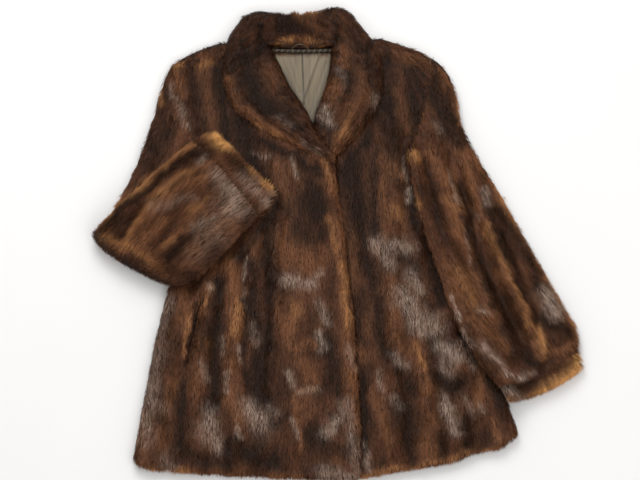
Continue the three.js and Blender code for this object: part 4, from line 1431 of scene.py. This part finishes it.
def left_front() -> FurPanel:
    """The front that lies below the lap: the wearer's left.

    Returns:
        The panel, with its listed streaks.
    """
    return FurPanel(
        node="left_front", slot="body_fur", flat=(0.34, 0.70), area=0.190, held="laid",
        rests_on=["back"], swell=-0.0015,
        naps=[Nap((350, 160), (366, 470)), Nap((400, 70), (418, 450)), Nap((430, 150), (500, 420)),
              Nap((416, 52), (432, 60))],
        # Dark streaks are the pelts' dark stripes and also painted shade in troughs and under the collar's
        # and the lap's edges; rust and ginger streaks are reddish fur and also painted highlight on ridges;
        # silver streaks are painted sheen.
        streaks=streaks(
            Tone.DARK_AND_SHADE,
            (376, 150, 373, 232, 3.5, 0.8), (348, 165, 362, 225, 14, 0.85), (362, 234, 370, 276, 7, 0.8),
            (406, 148, 414, 206, 3.5, 0.8), (411, 205, 420, 232, 6, 1.0), (424, 236, 441, 302, 6, 1.0),
            (407, 254, 413, 266, 8, 0.7), (378, 298, 386, 350, 9, 0.8), (438, 376, 458, 382, 9, 1.0),
            (399, 368, 408, 386, 8, 0.6), (404, 404, 412, 456, 7, 0.85), (440, 434, 442, 452, 5, 0.85),
            (466, 416, 466, 446, 6, 0.9), (362, 372, 366, 444, 4, 0.9), (385, 60, 390, 130, 10, 0.8),
            (372, 52, 374, 96, 5, 0.9), (412, 66, 420, 120, 8, 0.7), (458, 330, 484, 372, 5, 0.9),
            (484, 372, 500, 396, 6, 0.9), (430, 334, 434, 342, 5, 0.7), (355, 300, 362, 340, 5, 0.5),
            (380, 60, 382, 100, 5, 1.0), (382, 100, 366, 140, 5, 1.0), (366, 140, 342, 164, 4, 1.0),
            (394, 90, 400, 150, 26, 0.40), (390, 150, 392, 232, 16, 0.35), (430, 70, 428, 130, 14, 0.4),
        ) + streaks(
            Tone.RUST_AND_HIGHLIGHT,
            (384, 158, 400, 170, 9, 0.8), (383, 176, 388, 232, 7, 0.7), (392, 202, 399, 216, 7, 0.9),
            (352, 232, 356, 276, 5, 0.5), (390, 276, 396, 342, 8, 0.6), (416, 340, 423, 370, 5, 1.0),
            (423, 370, 428, 388, 5, 0.9), (379, 402, 390, 438, 5, 0.7), (424, 440, 442, 460, 6, 0.6),
            (478, 362, 478, 402, 4, 0.7), (489, 418, 498, 434, 5, 0.9), (358, 344, 363, 356, 5, 0.6),
            (350, 474, 505, 444, 4, 0.7), (396, 50, 440, 66, 6, 0.5), (398, 90, 406, 130, 6, 0.5),
            (430, 400, 434, 424, 6, 0.4), (370, 300, 366, 330, 6, 0.4),
        ) + streaks(
            Tone.GINGER_AND_HIGHLIGHT,
            (414, 155, 416, 165, 3.2, 1.0), (418, 344, 424, 366, 3, 0.45), (350, 474, 500, 446, 2.5, 0.35),
            (394, 208, 399, 214, 4, 0.35), (419, 203, 422, 210, 2.5, 0.5),
        ) + streaks(
            Tone.PAINTED_SHEEN,
            (404, 158, 405, 174, 2.5, 0.62), (409, 184, 410, 197, 3.5, 0.84), (377, 240, 406, 245, 8, 0.79),
            (384, 252, 391, 262, 6, 0.70), (411, 272, 419, 288, 6.5, 0.79), (398, 288, 410, 300, 8, 0.57),
            (402, 300, 432, 324, 9, 0.66), (411, 322, 424, 331, 6, 0.66), (438, 343, 456, 356, 7, 0.95),
            (440, 362, 450, 368, 5, 0.53), (462, 343, 470, 362, 5, 0.53), (444, 398, 453, 427, 6, 0.88),
            (394, 354, 406, 363, 5, 0.53), (391, 394, 399, 406, 5, 0.40), (364, 440, 368, 466, 3, 0.53),
            (480, 402, 481, 408, 3, 0.44), (466, 400, 470, 410, 5, 0.31), (380, 370, 381, 384, 3, 0.44),
            (374, 236, 376, 252, 3, 0.53), (436, 318, 440, 326, 6, 0.44),
        ),
        creases=[
            Crease((362, 170), (368, 400), -0.0015, 5.0), Crease((408, 150), (420, 235), -0.0022, 4.0),
            Crease((388, 160), (394, 330), 0.0012, 8.0), Crease((416, 330), (428, 400), 0.0015, 5.0),
            Crease((404, 400), (412, 456), -0.0012, 5.0), Crease((466, 400), (468, 446), -0.0012, 5.0),
        ],
    )


def back() -> FurPanel:
    """The back, of which only the rims show round the fronts.

    Returns:
        The panel, with its listed streaks.
    """
    return FurPanel(
        node="back", slot="body_fur", flat=(0.61, 0.71), area=0.330, held="laid", rests_on=[],
        naps=[Nap((190, 80), (160, 460)), Nap((280, 100), (280, 475)), Nap((400, 70), (500, 420))],
        streaks=streaks(Tone.RUST_AND_HIGHLIGHT, (140, 470, 360, 478, 10, 0.6), (360, 478, 510, 440, 10, 0.6)),
        creases=[], longest_edge=0.02, swell=-0.0018,
    )


def left_sleeve() -> FurPanel:
    """The sleeve that hangs straight down beside the body.

    Returns:
        The panel, with its listed streaks.
    """
    return FurPanel(
        node="left_sleeve", slot="sleeve_fur", flat=(0.33, 0.50), area=0.160, held="laid",
        rests_on=["left_front"], swell=0.0022,
        naps=[Nap((420, 70), (440, 170)), Nap((440, 170), (485, 280)), Nap((485, 280), (535, 360)),
              Nap((450, 100), (500, 230)), Nap((500, 230), (565, 340))],
        # Dark streaks are painted shade in the folds' valleys and along the sleeve's edge as well as dark
        # fur; rust and ginger streaks are reddish fur and also painted highlight on the folds' ridges; silver
        # streaks are painted sheen and a painted glint along the edge.
        streaks=streaks(
            Tone.DARK_AND_SHADE,
            (426, 60, 446, 130, 9, 0.8), (424, 160, 436, 216, 4, 0.9), (459, 182, 463, 216, 5, 0.9),
            (463, 216, 477, 258, 6, 1.0), (477, 258, 495, 302, 8, 1.0), (495, 302, 518, 350, 10, 1.0),
            (518, 350, 534, 364, 6, 0.9), (488, 206, 498, 240, 6, 0.9), (498, 240, 520, 290, 6, 1.0),
            (504, 216, 524, 234, 9, 0.8), (524, 234, 536, 284, 8, 0.9), (541, 320, 566, 333, 5, 0.9),
            (520, 290, 532, 320, 5, 0.7), (436, 216, 444, 240, 6, 0.5), (444, 92, 450, 120, 6, 0.6),
        ) + streaks(
            Tone.RUST_AND_HIGHLIGHT,
            (430, 156, 450, 191, 6, 0.9), (450, 196, 456, 210, 6, 0.8), (452, 212, 458, 232, 6, 0.9),
            (446, 262, 456, 284, 8, 0.7), (458, 296, 488, 316, 8, 0.7), (470, 320, 500, 345, 8, 0.7),
            (456, 226, 472, 274, 4, 0.6), (472, 274, 489, 315, 4, 0.7), (463, 146, 472, 188, 4, 0.8),
            (472, 188, 486, 226, 3.5, 0.9), (486, 226, 504, 271, 3, 1.0), (504, 271, 527, 323, 3, 1.0),
            (527, 323, 537, 360, 3, 0.8), (468, 150, 486, 178, 5, 0.8), (541, 353, 566, 344, 5, 0.7),
            (493, 181, 520, 228, 5, 1.0), (520, 228, 545, 275, 5, 1.0), (545, 275, 572, 320, 5, 1.0),
            (456, 70, 460, 120, 4, 0.7), (440, 66, 448, 78, 6, 0.5),
        ) + streaks(
            Tone.GINGER_AND_HIGHLIGHT,
            (535, 330, 540, 348, 3, 0.95), (494, 181, 546, 275, 2.6, 0.6), (546, 275, 573, 320, 3, 0.75),
            (486, 226, 527, 323, 2.5, 0.35), (458, 270, 470, 300, 5, 0.3), (446, 200, 455, 206, 4, 0.3),
            (456, 76, 458, 112, 3, 0.45), (573, 320, 578, 344, 4, 0.5),
            (413, 153, 415, 158, 3.2, 1.0), (417, 201, 419, 205, 3, 0.45), (535, 328, 540, 342, 3.5, 0.8),
        ) + streaks(
            Tone.PAINTED_SHEEN,
            (544, 292, 554, 310, 8, 1.0), (484, 190, 486, 200, 4, 0.8), (478, 308, 482, 311, 4, 0.9),
            (450, 292, 457, 322, 1.6, 0.9), (462, 332, 470, 345, 3, 0.5), (480, 345, 502, 372, 4, 0.75),
            (502, 372, 520, 375, 3.5, 0.9), (520, 375, 530, 372, 3, 0.5), (476, 212, 480, 217, 3, 0.5),
            (446, 168, 456, 200, 2, 0.4), (463, 232, 466, 262, 1.5, 0.4), (436, 124, 440, 134, 3, 0.3),
        ),
        creases=[
            Crease((459, 182), (477, 258), -0.0024, 7.5), Crease((477, 258), (518, 350), -0.0032, 9.0),
            Crease((488, 206), (520, 290), -0.0018, 6.5), Crease((472, 188), (504, 271), 0.0022, 6.5),
            Crease((504, 271), (537, 355), 0.0024, 7.0), Crease((440, 170), (458, 232), 0.0020, 7.5),
            Crease((458, 232), (489, 315), 0.0020, 7.5), Crease((424, 160), (436, 216), -0.0020, 5.0),
        ],
    )


def left_cuff() -> FurPanel:
    """The left sleeve's narrow cuff, with bright ginger tips.

    Returns:
        The panel, with its listed streaks.
    """
    return FurPanel(
        node="left_cuff", slot="cuff_fur", flat=(0.30, 0.035), area=0.0098, held="laid", rests_on=[],
        naps=[Nap((515, 385), (524, 404)), Nap((560, 360), (570, 378))],
        # The ginger and rust streaks are the cuff's bright tips and also painted highlight on its rim; the
        # dark streaks are painted shade along its inner side; the silver streak is painted sheen.
        streaks=streaks(Tone.RUST_AND_HIGHLIGHT, (520, 400, 580, 362, 9, 0.6))
        + streaks(Tone.GINGER_AND_HIGHLIGHT, (534, 399, 582, 368, 7, 1.0), (508, 406, 530, 404, 5, 0.8),
                  (574, 356, 584, 370, 8, 0.9))
        + streaks(Tone.DARK_AND_SHADE, (504, 390, 544, 372, 6, 0.9), (544, 372, 574, 354, 5, 0.8))
        + streaks(Tone.PAINTED_SHEEN, (504, 392, 520, 396, 5, 0.7)),
        creases=[], longest_edge=0.008, swell=-0.0030,
        pile=Pile(length=0.0128, root_lean=40, tip_lean=14, wander=16, scatter=13),
    )


def right_sleeve() -> FurPanel:
    """The sleeve that is folded at the elbow, its forearm laid over the chest.

    Returns:
        The panel, with its listed streaks.
    """
    return FurPanel(
        node="right_sleeve", slot="sleeve_fur", flat=(0.33, 0.55), area=0.170, held="folded",
        rests_on=["right_front"],
        naps=[Nap((190, 100), (160, 190)), Nap((152, 180), (122, 214)), Nap((98, 236), (160, 282)),
              Nap((160, 282), (206, 286))],
        upper_naps=[Nap((125, 262), (165, 215)), Nap((165, 215), (215, 165)), Nap((160, 275), (235, 215))],
        upper_from=0.021,
        # Dark streaks are painted shade in the elbow fold's creases as well as dark fur; rust and ginger
        # streaks are reddish fur and also painted highlight on the ridges and rims; silver streaks are
        # painted sheen.
        streaks=streaks(
            Tone.DARK_AND_SHADE,
            (104, 238, 120, 210, 5, 1.0), (120, 210, 152, 190, 4.5, 1.0), (152, 190, 190, 158, 4.5, 1.0),
            (116, 246, 130, 228, 4, 0.9), (130, 228, 156, 202, 4, 0.9), (167, 196, 192, 180, 4, 0.9),
            (160, 272, 176, 249, 4.5, 1.0), (176, 249, 188, 240, 4, 0.9), (205, 205, 216, 198, 9, 0.7),
            (186, 112, 176, 90, 4, 0.5), (150, 128, 158, 164, 9, 0.7), (232, 170, 240, 178, 4, 0.9),
            (196, 160, 214, 158, 5, 0.6), (170, 276, 190, 284, 6, 0.5),
            (168, 86, 166, 130, 8, 0.6), (218, 160, 236, 178, 4.5, 1.0), (196, 240, 214, 262, 12, 0.3),
        ) + streaks(
            Tone.RUST_AND_HIGHLIGHT,
            (99, 232, 112, 206, 4, 1.0), (112, 206, 136, 193, 4, 1.0), (136, 193, 186, 148, 5, 1.0),
            (122, 260, 136, 228, 5, 0.9), (136, 228, 158, 200, 5, 1.0), (158, 200, 186, 180, 5, 1.0),
            (186, 180, 206, 170, 4, 0.8), (155, 206, 200, 184, 6, 0.9), (104, 244, 158, 272, 6, 0.9),
            (140, 250, 160, 226, 6, 0.8), (186, 226, 214, 196, 9, 0.6), (190, 256, 226, 226, 9, 0.6),
            (166, 250, 182, 236, 4, 0.9), (204, 222, 228, 212, 4, 0.5), (186, 148, 214, 140, 5, 0.7),
            (172, 78, 178, 92, 5, 0.6), (146, 216, 170, 206, 6, 0.5),
        ) + streaks(
            Tone.GINGER_AND_HIGHLIGHT,
            (99, 230, 114, 207, 4, 0.7), (114, 207, 138, 194, 4, 0.65), (138, 194, 162, 170, 4, 0.5),
            (162, 170, 190, 150, 3.5, 0.4), (122, 258, 136, 228, 3, 0.35), (136, 228, 158, 200, 3.5, 0.45),
            (158, 200, 188, 179, 3.5, 0.40), (104, 244, 150, 268, 3.5, 0.45), (188, 220, 206, 206, 4, 0.3),
            (163, 255, 172, 244, 3, 0.4), (222, 215, 230, 209, 3, 0.5), (160, 84, 163, 98, 3, 0.5),
        ) + streaks(
            Tone.PAINTED_SHEEN,
            (214, 184, 232, 206, 8, 0.70), (222, 212, 240, 216, 7, 0.40), (208, 222, 230, 212, 3, 0.45),
            (190, 234, 206, 228, 4, 0.4), (170, 80, 186, 126, 2.5, 0.5), (196, 168, 204, 160, 3, 0.5),
            (150, 214, 190, 204, 5, 0.3), (205, 145, 214, 160, 5, 0.35),
            (206, 240, 232, 208, 14, 0.26), (190, 262, 210, 244, 10, 0.16),
        ),
        creases=[
            Crease((104, 238), (120, 210), -0.0030, 4.0), Crease((120, 210), (190, 158), -0.0040, 4.5),
            Crease((122, 258), (158, 200), 0.0035, 5.0), Crease((158, 200), (204, 170), 0.0030, 5.0),
            Crease((160, 272), (188, 240), -0.0045, 4.5), Crease((130, 228), (156, 202), -0.0025, 4.0),
        ],
    )


def right_cuff() -> FurPanel:
    """The folded sleeve's cuff, lying on the chest.

    Returns:
        The panel, with its listed streaks.
    """
    return FurPanel(
        node="right_cuff", slot="cuff_fur", flat=(0.30, 0.035), area=0.0098, held="laid",
        rests_on=["right_front"],
        naps=[Nap((215, 150), (232, 138)), Nap((245, 190), (266, 172)), Nap((265, 215), (282, 200))],
        # The ginger and rust streaks are the cuff's ginger tuft and tips and also painted highlight on its
        # lobes; the dark streaks are painted shade between the lobes; the silver streaks are painted sheen.
        streaks=streaks(Tone.RUST_AND_HIGHLIGHT, (200, 138, 224, 142, 7, 0.9), (248, 176, 276, 204, 6, 0.8),
                        (252, 198, 262, 214, 7, 0.5), (226, 154, 238, 160, 5, 0.5))
        + streaks(Tone.GINGER_AND_HIGHLIGHT, (210, 140, 222, 149, 6, 1.0), (213, 143, 223, 151, 6, 1.0),
                  (250, 176, 262, 188, 4.5, 1.0), (262, 188, 272, 199, 3.5, 0.6))
        + streaks(Tone.DARK_AND_SHADE, (226, 164, 240, 180, 6, 1.0), (238, 160, 246, 170, 4, 0.9))
        + streaks(Tone.PAINTED_SHEEN, (228, 150, 236, 157, 4, 0.35), (236, 184, 260, 208, 6, 0.60),
                  (262, 206, 270, 202, 4, 0.4)),
        creases=[], longest_edge=0.008,
        pile=Pile(length=0.0190, root_lean=38, tip_lean=12, wander=18, scatter=14),
    )


def collar() -> FurPanel:
    """The shawl collar, folded back round the neck and down both lobes.

    Returns:
        The panel, with its listed streaks.
    """
    return FurPanel(
        node="collar", slot="collar_fur", flat=(0.16, 0.60), area=0.072, held="folded",
        rests_on=["left_front", "right_front", "back"],
        naps=[Nap((300, 40), (298, 14)), Nap((255, 30), (240, 60)), Nap((240, 60), (245, 105)),
              Nap((250, 105), (285, 140)), Nap((285, 140), (325, 160)), Nap((345, 25), (368, 60)),
              Nap((368, 60), (362, 110)), Nap((362, 110), (338, 150))],
        # Dark streaks are painted shade at the roll line and round the neck as well as dark fur; rust and
        # ginger streaks are reddish fur and also painted highlight on the lobes' rolled edges; silver streaks
        # are painted sheen.
        streaks=streaks(
            Tone.DARK_AND_SHADE,
            (246, 60, 256, 104, 9, 0.9), (256, 100, 300, 128, 6, 0.8), (262, 24, 262, 50, 5, 0.9),
            (284, 26, 300, 32, 10, 0.8), (334, 24, 335, 52, 4, 0.9), (350, 60, 348, 84, 5, 0.7),
            (240, 40, 250, 52, 8, 0.6), (318, 124, 330, 130, 4, 0.8), (366, 46, 372, 76, 5, 0.6),
            (280, 88, 292, 112, 6, 0.6), (352, 34, 360, 44, 6, 0.6),
        ) + streaks(
            Tone.RUST_AND_HIGHLIGHT,
            (243, 108, 262, 128, 6, 0.9), (262, 128, 324, 164, 6.5, 1.0), (266, 68, 274, 82, 8, 0.5),
            (283, 98, 290, 104, 5, 0.5), (341, 48, 346, 62, 7, 0.9), (336, 84, 332, 100, 7, 0.7),
            (362, 72, 366, 96, 7, 0.6), (356, 104, 346, 132, 8, 0.8), (346, 134, 334, 152, 5, 0.8),
            (274, 46, 330, 45, 4, 0.9), (304, 22, 316, 30, 6, 0.5), (228, 76, 236, 104, 5, 0.6),
            (330, 160, 334, 172, 5, 0.8), (290, 14, 316, 13, 4, 0.5),
        ) + streaks(
            Tone.GINGER_AND_HIGHLIGHT,
            (274, 45, 292, 46, 2.5, 0.6), (306, 44, 326, 45, 2.5, 0.4), (298, 12, 314, 13, 3.5, 0.5),
            (256, 126, 290, 144, 2.5, 0.3), (352, 116, 342, 136, 3.5, 0.3),
        ) + streaks(
            Tone.PAINTED_SHEEN,
            (327, 108, 330, 124, 6, 0.8), (318, 116, 322, 122, 4, 0.5), (376, 92, 374, 106, 4, 0.4),
            (300, 142, 320, 154, 2.5, 0.3), (276, 116, 290, 124, 4, 0.3), (340, 70, 344, 78, 5, 0.3),
        ),
        creases=[], longest_edge=0.009, swell=-0.0008, pile=Pile(length=0.0115, wander=7, scatter=4.5),
    )


def placed(route: list[Triple]) -> list[Triple]:
    """A route of the pattern, in millimetres, as places in metres on the coat."""
    return [(x / 1000 + PLAN.shift[0], y / 1000 + PLAN.shift[1], z / 1000) for x, y, z in route]


def main() -> None:
    """Builds the coat's pieces in order."""
    logging.basicConfig(level=logging.INFO, format="%(message)s")
    Studio().build()
    pelt = PeltFinish().material()
    body = MinkFinish("body_fur").material()
    sleeve = MinkFinish("sleeve_fur", tip=0.30).material()
    cuff = MinkFinish("cuff_fur", tip=0.40, ginger=(1.0, 0.520, 0.175)).material()
    neck = MinkFinish("collar_fur", deep=(0.0105, 0.0049, 0.0030), brown=(0.043, 0.0168, 0.0090),
                      warm=(0.118, 0.047, 0.023), rust=(0.255, 0.104, 0.046)).material()
    total = 0
    for number, (panel, finish) in enumerate((
        (back(), body), (left_front(), body), (right_front(), body), (left_sleeve(), sleeve),
        (left_cuff(), cuff), (right_sleeve(), sleeve), (right_cuff(), cuff), (collar(), neck),
    )):
        total += panel.build(finish, pelt, number)
    total += NeckLining().build(SatinFinish().material())
    braid = YarnFinish("braid", (0.040, 0.030, 0.022), (0.010, 0.008, 0.006)).material()
    thread = YarnFinish("braid_thread", (0.190, 0.150, 0.085), (0.080, 0.062, 0.036)).material()
    cord = YarnFinish("loop_cord", (0.165, 0.125, 0.060), (0.062, 0.046, 0.024)).material()
    total += TwistedCord(
        "neck_braid", "neck_trim", "braid",
        placed([(-84, 309, 13.4), (-60, 308, 13.4), (-30, 307.6, 13.4), (0, 308, 13.4), (24, 309, 13.4)]),
        0.0030, 4, 0.0086).build([braid, thread, braid, thread])
    total += TwistedCord(
        "loop_twist", "hanger_loop", "loop_cord",
        placed([(-45, 307, 16), (-43, 313, 18.4), (-32, 317, 22.4), (-21, 313, 18.4), (-19, 307, 16)]),
        0.0010, 2, 0.005).build([cord, cord])
    LOG.info("all: %d triangles", total)


if __name__ == "__main__":
    main()
